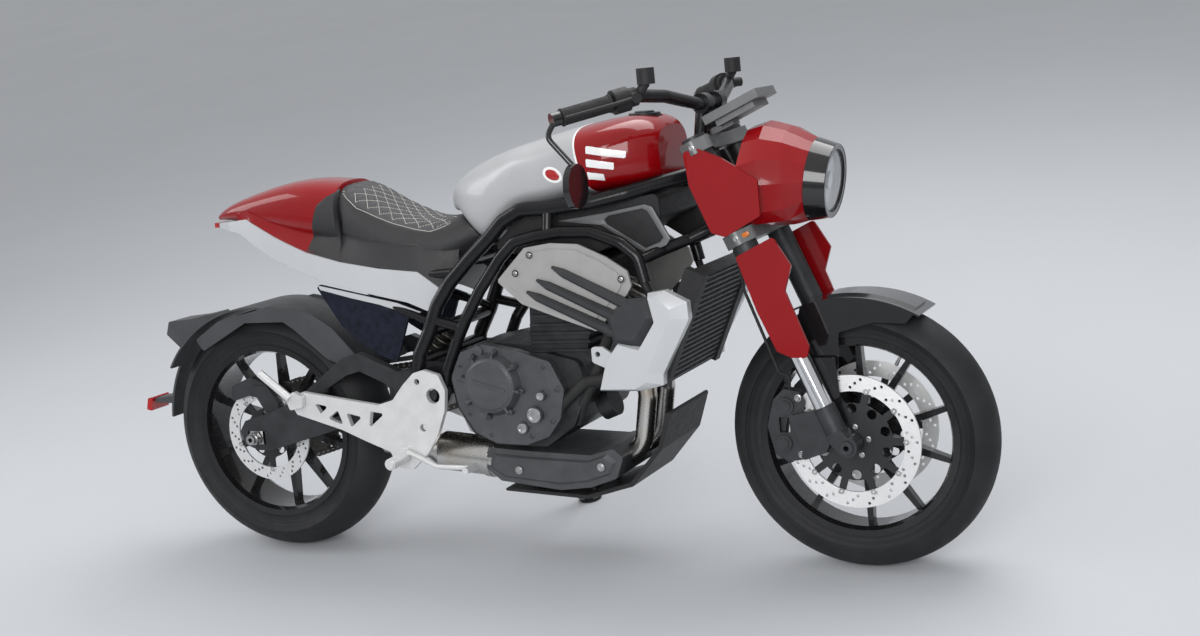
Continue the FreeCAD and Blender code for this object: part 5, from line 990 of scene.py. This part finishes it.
class RACER_OT_tyres(bpy.types.Operator):
    """Build both tyres with moulded rings on their side walls"""

    bl_idname = "racer.tyres"
    bl_label = "Tyres"

    def execute(self, context):
        settings = context.scene.racer_tyres
        jobs = (
            ("front_tyre", "front_wheel", Vector((WHEELBASE, 0.0, FRONT_RADIUS)), FRONT_TYRE),
            ("rear_tyre", "rear_wheel", Vector((0.0, 0.0, REAR_HUB_Z)), REAR_TYRE),
        )
        for node, body, centre, sizes in jobs:
            builder = bmesh.new()
            self.build(builder, centre, tyre_profile(*sizes), settings)
            piece = finish_piece(node + "_rubber", mesh_of(builder), body, "tyre", 28.0)
            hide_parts(node)
        return {"FINISHED"}

    def build(self, builder, centre, profile, settings):
        """Rings of the tyre's section, with its moulded rings and lines."""
        shaped = []
        for y, r in profile:
            if any(abs(r - ring) < 1.0 for ring in SIDE_RINGS) and y > 30.0:
                y += settings.ring_height / MM
            shaped.append((y, r))
        whole = [(-y, r) for y, r in reversed(shaped[1:])] + shaped
        middle = len(shaped) - 1
        line = settings.seam_height / MM
        rings = []
        for k in range(TYRE_SEGMENTS):
            turn = 2 * math.pi * k / TYRE_SEGMENTS
            ring = []
            for i, (y, r) in enumerate(whole):
                crosses = k % MOULD_LINE_EVERY == 0 and abs(i - middle) < MOULD_LINE_REACH
                level = r - line if i == middle or crosses else r
                z, x = turned(level, turn)
                ring.append(builder.verts.new(centre + Vector((x, y, z))))
            rings.append(ring)
        for here, following in zip(rings, rings[1:] + rings[:1]):
            join_rows(builder, here, following)


# Fastenings
LOW_CLAMP_UP = 505.0
TOP_CLAMP_UP = 722.0
BESIDE_FORK = 300.0
# Section of the dark ring round each side plate bolt: painted shade of the recess it sits in
WELL_SHADE_PROFILE = ((5.4, 0.3), (8.0, 0.3), (8.2, 0.1), (8.2, -1.0), (5.4, -1.0), (5.4, 0.3))
BOBBIN_PROFILE = ((2.6, 0.0), (2.6, 1.0), (3.0, 1.4), (6.0, 1.4), (6.4, 1.0), (6.4, -0.2), (2.6, -0.2))
VALVE_PROFILE = ((0.0, 0.0), (5.5, 0.0), (5.5, 3.0), (3.4, 4.0), (3.4, 20.0), (4.2, 20.6), (4.2, 30.0),
                 (3.4, 31.0), (0.0, 31.0))
VALVE_BASE_R = 203.5
VALVE_TURN = 0.5
RIVET_PROFILE = ((0.0, 0.0), (2.6, 0.0), (2.6, 1.0), (2.0, 1.5), (0.0, 1.2))
MIRROR_PROFILE = ((0.0, -0.2), (41.0, -0.2), (41.0, 0.6), (38.0, 1.2), (0.0, 1.8))
COVER_BOLTS = ((855.0, 752.0), (815.0, 712.0), (1075.0, 690.0))
FOOT_PLATE_BOLTS = ((520.0, 463.0), (524.0, 352.0), (470.0, 285.0))
CASE_RIM_BOLTS = ((636.0, 500.0), (648.0, 385.0), (700.0, 334.0), (806.0, 331.0), (864.0, 366.0),
                  (882.0, 440.0), (852.0, 493.0))
PLUGS = ((825.0, 384.0, 17.0), (788.0, 352.0, 12.0), (845.0, 428.0, 9.5))
CLUTCH_CENTRE = (718.0, 455.0)
CLUTCH_LUG_R = 78.0
LEFT_COVER_CENTRE = (810.0, 415.0)
BOX_BOLTS = ((742.0, 240.0), (955.0, 250.0))
CALIPER_BOLTS = ((1423.0, 399.0), (1422.0, 272.0))


def circle_spots(centre, radius, count, first):
    """Places round a circle in the wheel's plane, as x and z."""
    turns = [math.radians(first + 360.0 * k / count) for k in range(count)]
    return [(centre[0] + math.sin(turn) * radius, centre[1] + math.cos(turn) * radius) for turn in turns]


class RACER_OT_fastenings(bpy.types.Operator):
    """Add the bolts of the covers, cast plates, discs and calipers"""

    bl_idname = "racer.fastenings"
    bl_label = "Fastenings"

    def execute(self, context):
        self.side_bolts()
        self.engine_bolts()
        self.fork_bolts()
        self.wheel_bolts()
        return {"FINISHED"}

    def side_bolts(self):
        """Bolts of the side plates, each ringed by a dark ring of painted shade for its recess, and bolts of
        the cast foot plates.
        """
        bolts = bmesh.new()
        well_shade = bmesh.new()
        covers = node_tree("side_covers")
        plates = node_tree("footrest_plates")
        box = node_tree("silencer")
        for side in (1, -1):
            for x, z in COVER_BOLTS:
                seat = side_seat(covers, x, z, side)
                # Dark ring under the bolt, standing in for the shade of its recess: painted shade
                add_lathe(well_shade, seat, (0.0, side, 0.0), WELL_SHADE_PROFILE, 28)
            bolt_row(bolts, covers, COVER_BOLTS, side, 5.0, 2.6)
            bolt_row(bolts, plates, FOOT_PLATE_BOLTS, side, 8.5, 6.0)
        bolt_row(bolts, box, BOX_BOLTS, -1, 7.0, 5.0)
        finish_piece("side_bolts", mesh_of(bolts), "chassis", "bolt_steel")
        finish_piece("bolt_wells", mesh_of(well_shade), "chassis", "black_plastic")

    def engine_bolts(self):
        """Bolts and plugs of the engine covers."""
        bolts = bmesh.new()
        plugs = bmesh.new()
        covers = node_tree("engine_covers", "engine")
        bolt_row(bolts, covers, circle_spots(CLUTCH_CENTRE, CLUTCH_LUG_R, 8, 12.0), -1, 4.4, 4.5)
        bolt_row(bolts, covers, circle_spots(LEFT_COVER_CENTRE, 75.0, 6, 12.0), 1, 4.6, 5.0)
        bolt_row(bolts, covers, CASE_RIM_BOLTS, -1, 4.8, 5.0)
        for x, z, radius in PLUGS:
            seat = side_seat(covers, x, z, -1)
            add_lathe(plugs, seat + Vector((0.0, 0.4, 0.0)), (0.0, -1.0, 0.0), [
                (0.0, 0.0), (radius, 0.0), (radius, 2.6), (radius * 0.93, 3.6), (radius * 0.6, 3.8),
                (radius * 0.52, 3.2), (radius * 0.5, 1.4), (0.0, 1.4)], 36)
        finish_piece("engine_bolts", mesh_of(bolts), "chassis", "cover_grey")
        finish_piece("engine_plugs", mesh_of(plugs), "chassis", "bolt_steel")

    def fork_bolts(self):
        """Pinch bolts of the clamps and bolts of the calipers."""
        builder = bmesh.new()
        calipers = node_tree("front_calipers")
        clamps = node_tree("fork_clamps")
        for side in (1, -1):
            bolt_row(builder, calipers, CALIPER_BOLTS, side, 6.0, 6.0)
            for up in (LOW_CLAMP_UP, TOP_CLAMP_UP):
                spot = fork_place(16.0, side * BESIDE_FORK, up)
                seat = seat_on(clamps, spot, (0.0, -side, 0.0))
                if seat is not None:
                    add_bolt(builder, seat, (0.0, side, 0.0), 4.6, 4.0)
        finish_piece("fork_bolts", mesh_of(builder), "steering", "bolt_steel")

    def wheel_bolts(self):
        """Bolts that hold the discs, the bobbins' clips, and the tyre valves."""
        jobs = (
            ("front_wheel", "front_discs", (WHEELBASE, FRONT_RADIUS), (1, -1), 33.0, 10, 116.0),
            ("rear_wheel", "rear_disc", (0.0, REAR_HUB_Z), (-1,), 36.0, 5, 94.0),
        )
        for body, node, centre, sides, circle, arms, bobbin in jobs:
            builder = bmesh.new()
            tree = node_tree(node)
            for side in sides:
                bolt_row(builder, tree, circle_spots(centre, circle, 5, 8.0), side, 4.6, 4.0)
                for x, z in circle_spots(centre, bobbin, arms, 180.0 / arms):
                    seat = side_seat(tree, x, z, side)
                    add_lathe(builder, seat, (0.0, side, 0.0), BOBBIN_PROFILE, 24)
            outward = Vector((math.sin(VALVE_TURN), 0.0, math.cos(VALVE_TURN)))
            base = Vector((centre[0], 0.0, centre[1])) + outward * VALVE_BASE_R
            add_lathe(builder, base, -outward, VALVE_PROFILE, 20)
            finish_piece(body + "_bolts", mesh_of(builder), body, "bolt_steel")


# Headlamp
LAMP_TILT = math.radians(9.0)
LAMP_AXIS = Vector((math.cos(LAMP_TILT), 0.0, -math.sin(LAMP_TILT)))
LAMP_GLASS = Vector((1474.0, 0.0, 867.0)) + LAMP_AXIS * 26.2
LAMP_R = 68.6
LAMP_TRIM_R = 78.5


class RACER_OT_headlamp(bpy.types.Operator):
    """Build the reflector, trim ring and domed glass of the headlamp"""

    bl_idname = "racer.headlamp"
    bl_label = "Headlamp"

    def execute(self, context):
        bowl = bmesh.new()
        profile = [(LAMP_R, 0.0), (LAMP_R, 5.0), (LAMP_R - 2.0, 5.2)]
        for k in range(12):
            share = k / 11
            profile.append((LAMP_R - 3.0 - 44.0 * share, 4.6 - 3.9 * math.sin(share * math.pi / 2)))
        profile += [(20.0, 0.8), (19.0, 6.5), (16.5, 8.4), (9.0, 9.2), (0.0, 9.4)]
        add_lathe(bowl, LAMP_GLASS, LAMP_AXIS, profile, 72)
        finish_piece("headlamp_reflector", mesh_of(bowl), "steering", "reflector")
        dome = bmesh.new()
        front = []
        for k in range(12):
            r, rise = turned(1.0, k * math.pi / 24)
            front.append((LAMP_R * r, 11.0 + 6.5 * rise))
        back = [(r * 0.975, h - 2.2) for r, h in reversed(front)]
        add_lathe(dome, LAMP_GLASS, LAMP_AXIS, [(0.0, 15.3)] + back + front + [(0.0, 17.5)], 72)
        finish_piece("headlamp_glass", mesh_of(dome), "steering", "lens")
        trim = bmesh.new()
        add_lathe(trim, LAMP_GLASS, LAMP_AXIS, [
            (LAMP_R, 10.0), (LAMP_R, 13.0), (LAMP_R + 1.2, 14.5), (LAMP_TRIM_R, 18.6),
            (LAMP_TRIM_R + 1.4, 18.9), (LAMP_TRIM_R + 2.2, 17.6), (LAMP_TRIM_R + 1.0, 16.4),
            (LAMP_R + 0.6, 10.0), (LAMP_R, 10.0)], 96)
        finish_piece("headlamp_trim", mesh_of(trim), "steering", "gloss_black")
        return {"FINISHED"}


# Grips
GRIP_INNER = Vector((1188.0, 268.0, 1086.0))
GRIP_OUTER = Vector((1070.0, 400.0, 1058.0))
GRIP_LENGTH = 118.0
GRIP_RIBS = 22
GRIP_RIBBED = 100.0
GRIP_RIB_R = 18.0
GRIP_GROOVE_R = 17.1


class RACER_OT_grips(bpy.types.Operator):
    """Build the ribbed rubber of the grips"""

    bl_idname = "racer.grips"
    bl_label = "Grips"

    def execute(self, context):
        builder = bmesh.new()
        for side in (1, -1):
            start, end = [Vector((spot.x, side * spot.y, spot.z)) for spot in (GRIP_INNER, GRIP_OUTER)]
            along = (end - start).normalized()
            length = (end - start).length
            base = start + along * (length - GRIP_LENGTH)
            profile = [(14.2, 0.0), (18.5, 0.5), (19.5, 2.0), (19.5, 5.0), (17.4, 6.5)]
            step = GRIP_RIBBED / GRIP_RIBS
            for k in range(GRIP_RIBS):
                at = 9.0 + GRIP_RIBBED * k / GRIP_RIBS
                profile += [(GRIP_GROOVE_R, at), (GRIP_RIB_R, at + step * 0.25),
                            (GRIP_RIB_R, at + step * 0.6), (GRIP_GROOVE_R, at + step * 0.85)]
            profile += [(18.6, 111.0), (19.2, 112.5), (19.2, 114.5), (18.0, 116.0), (14.2, 116.2)]
            add_lathe(builder, base, along, profile, 40)
        piece = finish_piece("grip_rubber", mesh_of(builder), "steering", "rubber", 50.0)
        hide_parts("grips")
        return {"FINISHED"}


# Mirrors, screen and reflectors
class RACER_OT_mirrors(bpy.types.Operator):
    """Add the mirror glasses, the display's screen and the fork's side reflectors"""

    bl_idname = "racer.mirrors"
    bl_label = "Mirrors and screen"

    def execute(self, context):
        builder = bmesh.new()
        tree = node_tree("mirrors")
        for side in (1, -1):
            seat = seat_on(tree, (700.0, side * 420.0, 912.0), (1.0, 0.0, 0.0))
            if seat is not None:
                add_lathe(builder, seat, (-1.0, 0.0, 0.0), MIRROR_PROFILE, 48)
        finish_piece("mirror_glass", mesh_of(builder), "steering", "mirror")
        screen = bmesh.new()
        turn = Matrix.Rotation(-RAKE, 4, "Y")
        place = Matrix.Translation(fork_place(103.0, 0.0, 780.4)) @ turn
        add_box(screen, place, (118.0, 104.0, 1.6), 0.6)
        finish_piece("dash_screen", mesh_of(screen), "steering", "screen")
        reflectors = bmesh.new()
        clamps = node_tree("fork_clamps")
        for side in (1, -1):
            seat = seat_on(clamps, fork_place(34.0, side * BESIDE_FORK, LOW_CLAMP_UP), (0.0, -side, 0.0))
            if seat is not None:
                add_box(reflectors, Matrix.Translation(seat + Vector((0.0, side * 1.2, 0.0))) @ turn,
                        (24.0, 3.4, 10.0), 1.2)
        finish_piece("fork_reflectors", mesh_of(reflectors), "steering", "amber")
        return {"FINISHED"}


# Tank trim
SEAM_TOP = Vector((958.0, 0.0, 1060.0))
SEAM_LOW = Vector((1000.0, 0.0, 845.0))
SEAM_MIDDLE_Z = 905.0
BADGE_CENTRE = (916.0, 925.0)
BADGE_TURN = math.radians(-24.0)
RIM_PROFILE = ((1.0, -0.4), (1.0, 1.4), (0.93, 1.9), (0.82, 1.5), (0.0, 1.2))
OVAL_PROFILE = ((1.0, 0.6), (0.97, 2.2), (0.8, 3.1), (0.4, 3.6), (0.0, 3.7))
SEAM_SECTION = ((-2.6, -0.6), (-2.0, 0.5), (0.0, 0.9), (2.0, 0.5), (2.6, -0.6))
STRIPES = (
    ((1002.0, 986.0), (1094.0, 966.0), (1092.0, 948.0), (1002.0, 966.0)),
    ((1001.0, 957.0), (1066.0, 943.0), (1064.0, 925.0), (1001.0, 937.0)),
    ((1001.0, 928.0), (1040.0, 920.0), (1038.0, 902.0), (1001.0, 908.0)),
)


class RACER_OT_tank_trim(bpy.types.Operator):
    """Add the seam's edging, the oval badges and the plain stripes of the tank"""

    bl_idname = "racer.tank_trim"
    bl_label = "Tank trim"

    def execute(self, context):
        tree = node_tree("tank_rear", "tank_front")
        seam = bmesh.new()
        self.add_seam(seam, tree)
        finish_piece("tank_seam", mesh_of(seam), "chassis", "white_trim")
        rims = bmesh.new()
        ovals = bmesh.new()
        stripes = bmesh.new()
        for side in (1, -1):
            self.add_oval(rims, tree, side, 25.0, 17.0, RIM_PROFILE)
            self.add_oval(ovals, tree, side, 18.5, 11.5, OVAL_PROFILE)
            for corners in STRIPES:
                self.add_stripe(stripes, tree, side, corners)
        finish_piece("badge_rims", mesh_of(rims), "chassis", "white_trim")
        finish_piece("badge_ovals", mesh_of(ovals), "chassis", "lamp_red")
        finish_piece("tank_stripes", mesh_of(stripes), "chassis", "white_trim")
        return {"FINISHED"}

    def add_seam(self, builder, tree):
        """Thin raised strip over the tank along the seam of its two parts."""
        up = (SEAM_TOP - SEAM_LOW).normalized()
        share = (SEAM_MIDDLE_Z - SEAM_LOW.z) / (SEAM_TOP.z - SEAM_LOW.z)
        middle = SEAM_LOW.lerp(SEAM_TOP, share)
        rows = []
        for k in range(-54, 55):
            turn = math.radians(2.0 * k)
            out = Vector((0.0, math.sin(turn), 0.0)) + up * math.cos(turn)
            row = []
            for shift, lift in SEAM_SECTION:
                start = middle + Vector((shift, 0.0, 0.0)) + out * SIDE_REACH
                seat = seat_on(tree, start, -out)
                if seat is None or seat.z < SEAM_LOW.z + 4.0:
                    row = []
                    break
                row.append(seat + out * lift)
            if row:
                rows.append([builder.verts.new(place) for place in row])
        for near, far in zip(rows, rows[1:]):
            join_rows(builder, near, far, closed=False)

    def add_oval(self, builder, tree, side, half_long, half_high, profile):
        """Oval form laid on the tank's side; the profile is share of the oval's size and height."""
        rings = []
        for share, lift in profile:
            ring = []
            count = 40 if share > 0 else 1
            for k in range(count):
                a, b = turned(share, 2 * math.pi * k / count)
                a, b = half_long * a, half_high * b
                x = BADGE_CENTRE[0] + a * math.cos(BADGE_TURN) - b * math.sin(BADGE_TURN)
                z = BADGE_CENTRE[1] + a * math.sin(BADGE_TURN) + b * math.cos(BADGE_TURN)
                seat = side_seat(tree, x, z, side)
                ring.append(builder.verts.new(seat + Vector((0.0, side * lift, 0.0))))
            rings.append(ring)
        for low, high in zip(rings, rings[1:]):
            join_rows(builder, low, high)

    def add_stripe(self, builder, tree, side, corners):
        """Plain painted bar laid on the tank's side."""
        columns, rows = 20, 5
        near_top, far_top, far_low, near_low = [Vector((x, 0.0, z)) for x, z in corners]
        grid = []
        for i in range(columns + 1):
            line = []
            top = near_top.lerp(far_top, i / columns)
            low = near_low.lerp(far_low, i / columns)
            for j in range(rows + 1):
                spot = top.lerp(low, j / rows)
                seat = side_seat(tree, spot.x, spot.z, side)
                rim = i in (0, columns) or j in (0, rows)
                line.append(builder.verts.new(seat + Vector((0.0, side * (-0.1 if rim else 0.25), 0.0))))
            grid.append(line)
        for near, far in zip(grid, grid[1:]):
            join_rows(builder, far, near, closed=False)


# Air box sides
AIR_PANEL = ((902.0, 818.0), (1013.0, 830.0), (1118.0, 845.0), (1136.0, 839.0), (1173.0, 766.0),
             (1162.0, 752.0), (1112.0, 736.0), (1010.0, 803.0))
AIR_WINDOW = ((1018.0, 815.0), (1030.0, 824.0), (1112.0, 836.0), (1124.0, 830.0), (1157.0, 770.0),
              (1148.0, 760.0), (1112.0, 748.0), (1024.0, 805.0))


class RACER_OT_air_box(bpy.types.Operator):
    """Add the trimmed side panels of the air box"""

    bl_idname = "racer.air_box"
    bl_label = "Air box panels"

    def execute(self, context):
        back = bmesh.new()
        trim = bmesh.new()
        for side in (1, -1):
            low, high = sorted((side * 119.5, side * 122.0))
            add_slab(back, AIR_PANEL, low, high, 0.5)
            low, high = sorted((side * 121.5, side * 126.0))
            add_frame(trim, AIR_PANEL, AIR_WINDOW, low, high, 0.9)
        finish_piece("air_box_backs", mesh_of(back), "chassis", "black_plastic")
        finish_piece("air_box_trims", mesh_of(trim), "chassis", "clamp_grey")
        return {"FINISHED"}


# Chain pins
DRIVE_CENTRE = Vector((640.0, 0.0, 440.0))
PITCH_R_REAR = 101.17
PITCH_R_DRIVE = 40.69
CHAIN_Y = 96.0
CHAIN_HALF = 6.5
CHAIN_PINS = 110


def on_circle(centre, radius, turn):
    """Place on a circle in the chain's plane."""
    x, z = turned(radius, turn)
    return centre + Vector((x, 0.0, z))


def chain_places():
    """Places of the chain's pins round its loop."""
    rear = Vector((0.0, 0.0, REAR_HUB_Z))
    line = DRIVE_CENTRE - rear
    slope = math.atan2(line.z, line.x)
    fall = math.asin((PITCH_R_REAR - PITCH_R_DRIVE) / line.length)
    run = line.length * math.cos(fall)
    up = slope + math.pi / 2 - fall
    front_arc = (math.pi - 2 * fall) * PITCH_R_DRIVE
    rear_arc = (math.pi + 2 * fall) * PITCH_R_REAR
    total = 2 * run + front_arc + rear_arc
    ahead = Vector((math.sin(up), 0.0, -math.cos(up)))
    down = slope - math.pi / 2 + fall
    back = Vector((math.sin(down), 0.0, -math.cos(down)))
    places = []
    for k in range(CHAIN_PINS):
        way = (front_arc / 2 + total * k / CHAIN_PINS) % total
        if way < front_arc:
            place = on_circle(DRIVE_CENTRE, PITCH_R_DRIVE, up - way / PITCH_R_DRIVE)
        elif way < front_arc + run:
            place = on_circle(DRIVE_CENTRE, PITCH_R_DRIVE, down) + back * (way - front_arc)
        elif way < front_arc + run + rear_arc:
            place = on_circle(rear, PITCH_R_REAR, down - (way - front_arc - run) / PITCH_R_REAR)
        else:
            place = on_circle(rear, PITCH_R_REAR, up) + ahead * (way - front_arc - run - rear_arc)
        places.append(place)
    return places


class RACER_OT_chain_pins(bpy.types.Operator):
    """Add the riveted pin heads of the chain"""

    bl_idname = "racer.chain_pins"
    bl_label = "Chain pins"

    def execute(self, context):
        builder = bmesh.new()
        for place in chain_places():
            for side in (1, -1):
                base = place + Vector((0.0, CHAIN_Y + side * (CHAIN_HALF - 0.2), 0.0))
                add_lathe(builder, base, (0.0, side, 0.0), RIVET_PROFILE, 12)
        finish_piece("chain_rivets", mesh_of(builder), "chassis", "bolt_steel")
        return {"FINISHED"}


# Radiator
CORE_LOW = Vector((1128.0, 0.0, 455.0))
CORE_HIGH = Vector((1238.0, 0.0, 690.0))
CORE_ALONG = (CORE_HIGH - CORE_LOW).normalized()
CORE_OUT = Vector((CORE_ALONG.z, 0.0, -CORE_ALONG.x))
CORE_HALF = 138.0
CORE_FACE = 18.0
CORE_TUBES = 19
CORE_FINS = 92
TUBE_SECTION = ((-2.2, 0.0), (-2.2, 1.6), (2.2, 1.6), (2.2, 0.0))
FIN_SLANT = 1.2
FIN_THICKNESS = 0.5
FIN_DEPTH = 1.1


class RACER_OT_radiator(bpy.types.Operator):
    """Fill the radiator with flat tubes and pleated fins"""

    bl_idname = "racer.radiator"
    bl_label = "Radiator core"

    def execute(self, context):
        builder = bmesh.new()
        for face in (1, -1):
            for k in range(CORE_TUBES):
                self.add_core_tube(builder, face, (k + 0.5) / CORE_TUBES)
            for k in range(CORE_FINS):
                y = -CORE_HALF + 2 * CORE_HALF * (k + 0.5) / CORE_FINS
                self.add_fin(builder, face, y, FIN_SLANT if k % 2 else -FIN_SLANT)
        finish_piece("radiator_core", mesh_of(builder), "chassis", "dark_alloy")
        return {"FINISHED"}

    def add_core_tube(self, builder, face, share):
        """Flat tube across one face of the core, at a share of its height."""
        length = (CORE_HIGH - CORE_LOW).length
        middle = CORE_LOW + CORE_ALONG * (length * share) + CORE_OUT * (CORE_FACE * face)
        corners = [middle + CORE_ALONG * a + CORE_OUT * (o * face) for a, o in TUBE_SECTION]
        ends = []
        for y in (-CORE_HALF, CORE_HALF):
            ends.append([builder.verts.new(corner + Vector((0.0, y, 0.0))) for corner in corners])
        join_rows(builder, *ends)

    def add_fin(self, builder, face, y, slant):
        """Slanted fin over one face of the core."""
        low = CORE_LOW + CORE_OUT * (CORE_FACE * face)
        high = low + CORE_ALONG * (CORE_HIGH - CORE_LOW).length
        corners = []
        for end, shift in ((low, -slant), (low, FIN_THICKNESS - slant),
                           (high, FIN_THICKNESS + slant), (high, slant)):
            corners.append(end + Vector((0.0, y + shift, 0.0)))
        near = [builder.verts.new(corner) for corner in corners]
        far = [builder.verts.new(corner + CORE_OUT * (FIN_DEPTH * face)) for corner in corners]
        join_rows(builder, near, far)
        builder.faces.new(far)


# Stage
CAMERA_PLACE = Vector((1.9136, -3.4310, 1.7690))
CAMERA_YAW = 2.0369019506
CAMERA_DOWN = 0.3088209338
CAMERA_ROLL = -0.1779079492
CAMERA_LENS = 50.813
CAMERA_SENSOR = 36.0
FLOOR_SIZE = 90.0
FLOOR_GAP = 0.0005
LAMP_TARGET = (0.0, 0.0, 0.55)
LAMPS = (
    ("key", (0.6, 1.6, 3.6), (3.6, 2.4), 1.0),
    ("fill", (1.2, -4.2, 2.4), (3.0, 2.0), 1.2),
    ("edge", (-3.2, -0.8, 2.2), (1.2, 2.6), 0.3),
)


def aim_camera(scene):
    """Camera at the photograph's viewing angle."""
    data = bpy.data.cameras.new("view")
    data.lens = CAMERA_LENS
    data.sensor_width = CAMERA_SENSOR
    data.clip_end = 300.0
    camera = bpy.data.objects.new("view", data)
    scene.collection.objects.link(camera)
    level, fall = turned(1.0, CAMERA_DOWN)
    forward = Vector((*turned(level, CAMERA_YAW), -fall))
    right = forward.cross(Vector((0.0, 0.0, 1.0))).normalized()
    above = right.cross(forward)
    c, s = turned(1.0, CAMERA_ROLL)
    turned_right = right * c + above * s
    turned_above = above * c - right * s
    camera.matrix_world = Matrix((
        (turned_right.x, turned_above.x, -forward.x, CAMERA_PLACE.x),
        (turned_right.y, turned_above.y, -forward.y, CAMERA_PLACE.y),
        (turned_right.z, turned_above.z, -forward.z, CAMERA_PLACE.z),
        (0.0, 0.0, 0.0, 1.0),
    ))
    scene.camera = camera


def add_lamp(scene, name, place, size, power):
    """Oblong soft lamp aimed at the bike's middle."""
    data = bpy.data.lights.new(name, "AREA")
    data.shape = "RECTANGLE"
    data.size, data.size_y = size
    data.energy = power
    lamp = bpy.data.objects.new(name, data)
    scene.collection.objects.link(lamp)
    lamp.location = place
    lamp.rotation_euler = (Vector(LAMP_TARGET) - Vector(place)).to_track_quat("-Z", "Y").to_euler()


def light_room(scene, strength):
    """Even room light, brighter above than at the horizon."""
    world = bpy.data.worlds.new("room")
    scene.world = world
    world.use_nodes = True
    nodes, links = world.node_tree.nodes, world.node_tree.links
    background = nodes["Background"]
    coords = nodes.new("ShaderNodeTexCoord")
    split = nodes.new("ShaderNodeSeparateXYZ")
    links.new(coords.outputs["Generated"], split.inputs["Vector"])
    level = ranged(nodes, links, split.outputs["Z"], -0.1, 0.8, 0.0, 1.0)
    links.new(blended(nodes, links, level, (0.62, 0.65, 0.7), (1.0, 1.0, 1.0)), background.inputs["Color"])
    background.inputs["Strength"].default_value = strength


class RACER_OT_stage(bpy.types.Operator):
    """Set the floor, the lamps and the camera"""

    bl_idname = "racer.stage"
    bl_label = "Studio"

    def execute(self, context):
        settings = context.scene.racer_stage
        scene = context.scene
        builder = bmesh.new()
        bmesh.ops.create_grid(builder, x_segments=8, y_segments=8, size=FLOOR_SIZE / 2)
        mesh = bpy.data.meshes.new("floor")
        builder.to_mesh(mesh)
        builder.free()
        mesh.materials.append(finish("floor_paint", tuple(settings.floor), 0.55, mottle=0.02,
                                     mottle_scale=0.6, swing=0.05, grain=0.05, grain_scale=120.0, edge=0.0))
        floor = bpy.data.objects.new("floor", mesh)
        scene.collection.objects.link(floor)
        floor.location = (0.0, 0.0, cad_box[0][2] - FLOOR_GAP)
        for name, place, size, share in LAMPS:
            add_lamp(scene, name, place, size, settings.lamp_power * share)
        light_room(scene, settings.sky)
        aim_camera(scene)
        scene.view_settings.view_transform = "Standard"
        return {"FINISHED"}


OPERATORS = (
    RACER_OT_finishes, RACER_OT_seat, RACER_OT_tail, RACER_OT_tyres, RACER_OT_fastenings, RACER_OT_headlamp,
    RACER_OT_grips, RACER_OT_mirrors, RACER_OT_tank_trim, RACER_OT_air_box, RACER_OT_chain_pins,
    RACER_OT_radiator, RACER_OT_stage,
)


class RACER_PT_panel(bpy.types.Panel):
    """Lists the builders of the bike's looks"""

    bl_idname = "RACER_PT_panel"
    bl_label = "Cafe Racer"
    bl_space_type = "VIEW_3D"
    bl_region_type = "UI"
    bl_category = "Cafe Racer"

    def draw(self, context):
        scene = context.scene
        for name in ("racer_paint", "racer_seat", "racer_tyres", "racer_stage"):
            group = getattr(scene, name)
            box = self.layout.box()
            for key in group.__annotations__:
                box.prop(group, key)
        for operator in OPERATORS:
            self.layout.operator(operator.bl_idname)


GROUPS = {
    "racer_paint": RacerPaint,
    "racer_seat": RacerSeat,
    "racer_tyres": RacerTyres,
    "racer_stage": RacerStage,
}


def register():
    """Adds the settings, operators and panel."""
    for name, group in GROUPS.items():
        bpy.utils.register_class(group)
        setattr(bpy.types.Scene, name, bpy.props.PointerProperty(type=group))
    for operator in OPERATORS:
        bpy.utils.register_class(operator)
    bpy.utils.register_class(RACER_PT_panel)


def unregister():
    """Removes what register added."""
    bpy.utils.unregister_class(RACER_PT_panel)
    for operator in reversed(OPERATORS):
        bpy.utils.unregister_class(operator)
    for name, group in GROUPS.items():
        delattr(bpy.types.Scene, name)
        bpy.utils.unregister_class(group)


def main():
    """Builds the looks in order."""
    register()
    bpy.ops.racer.finishes()
    bpy.ops.racer.seat()
    bpy.ops.racer.tail()
    bpy.ops.racer.tyres()
    bpy.ops.racer.fastenings()
    bpy.ops.racer.headlamp()
    bpy.ops.racer.grips()
    bpy.ops.racer.mirrors()
    bpy.ops.racer.tank_trim()
    bpy.ops.racer.air_box()
    bpy.ops.racer.chain_pins()
    bpy.ops.racer.radiator()
    bpy.ops.racer.stage()


if __name__ == "__main__":
    main()
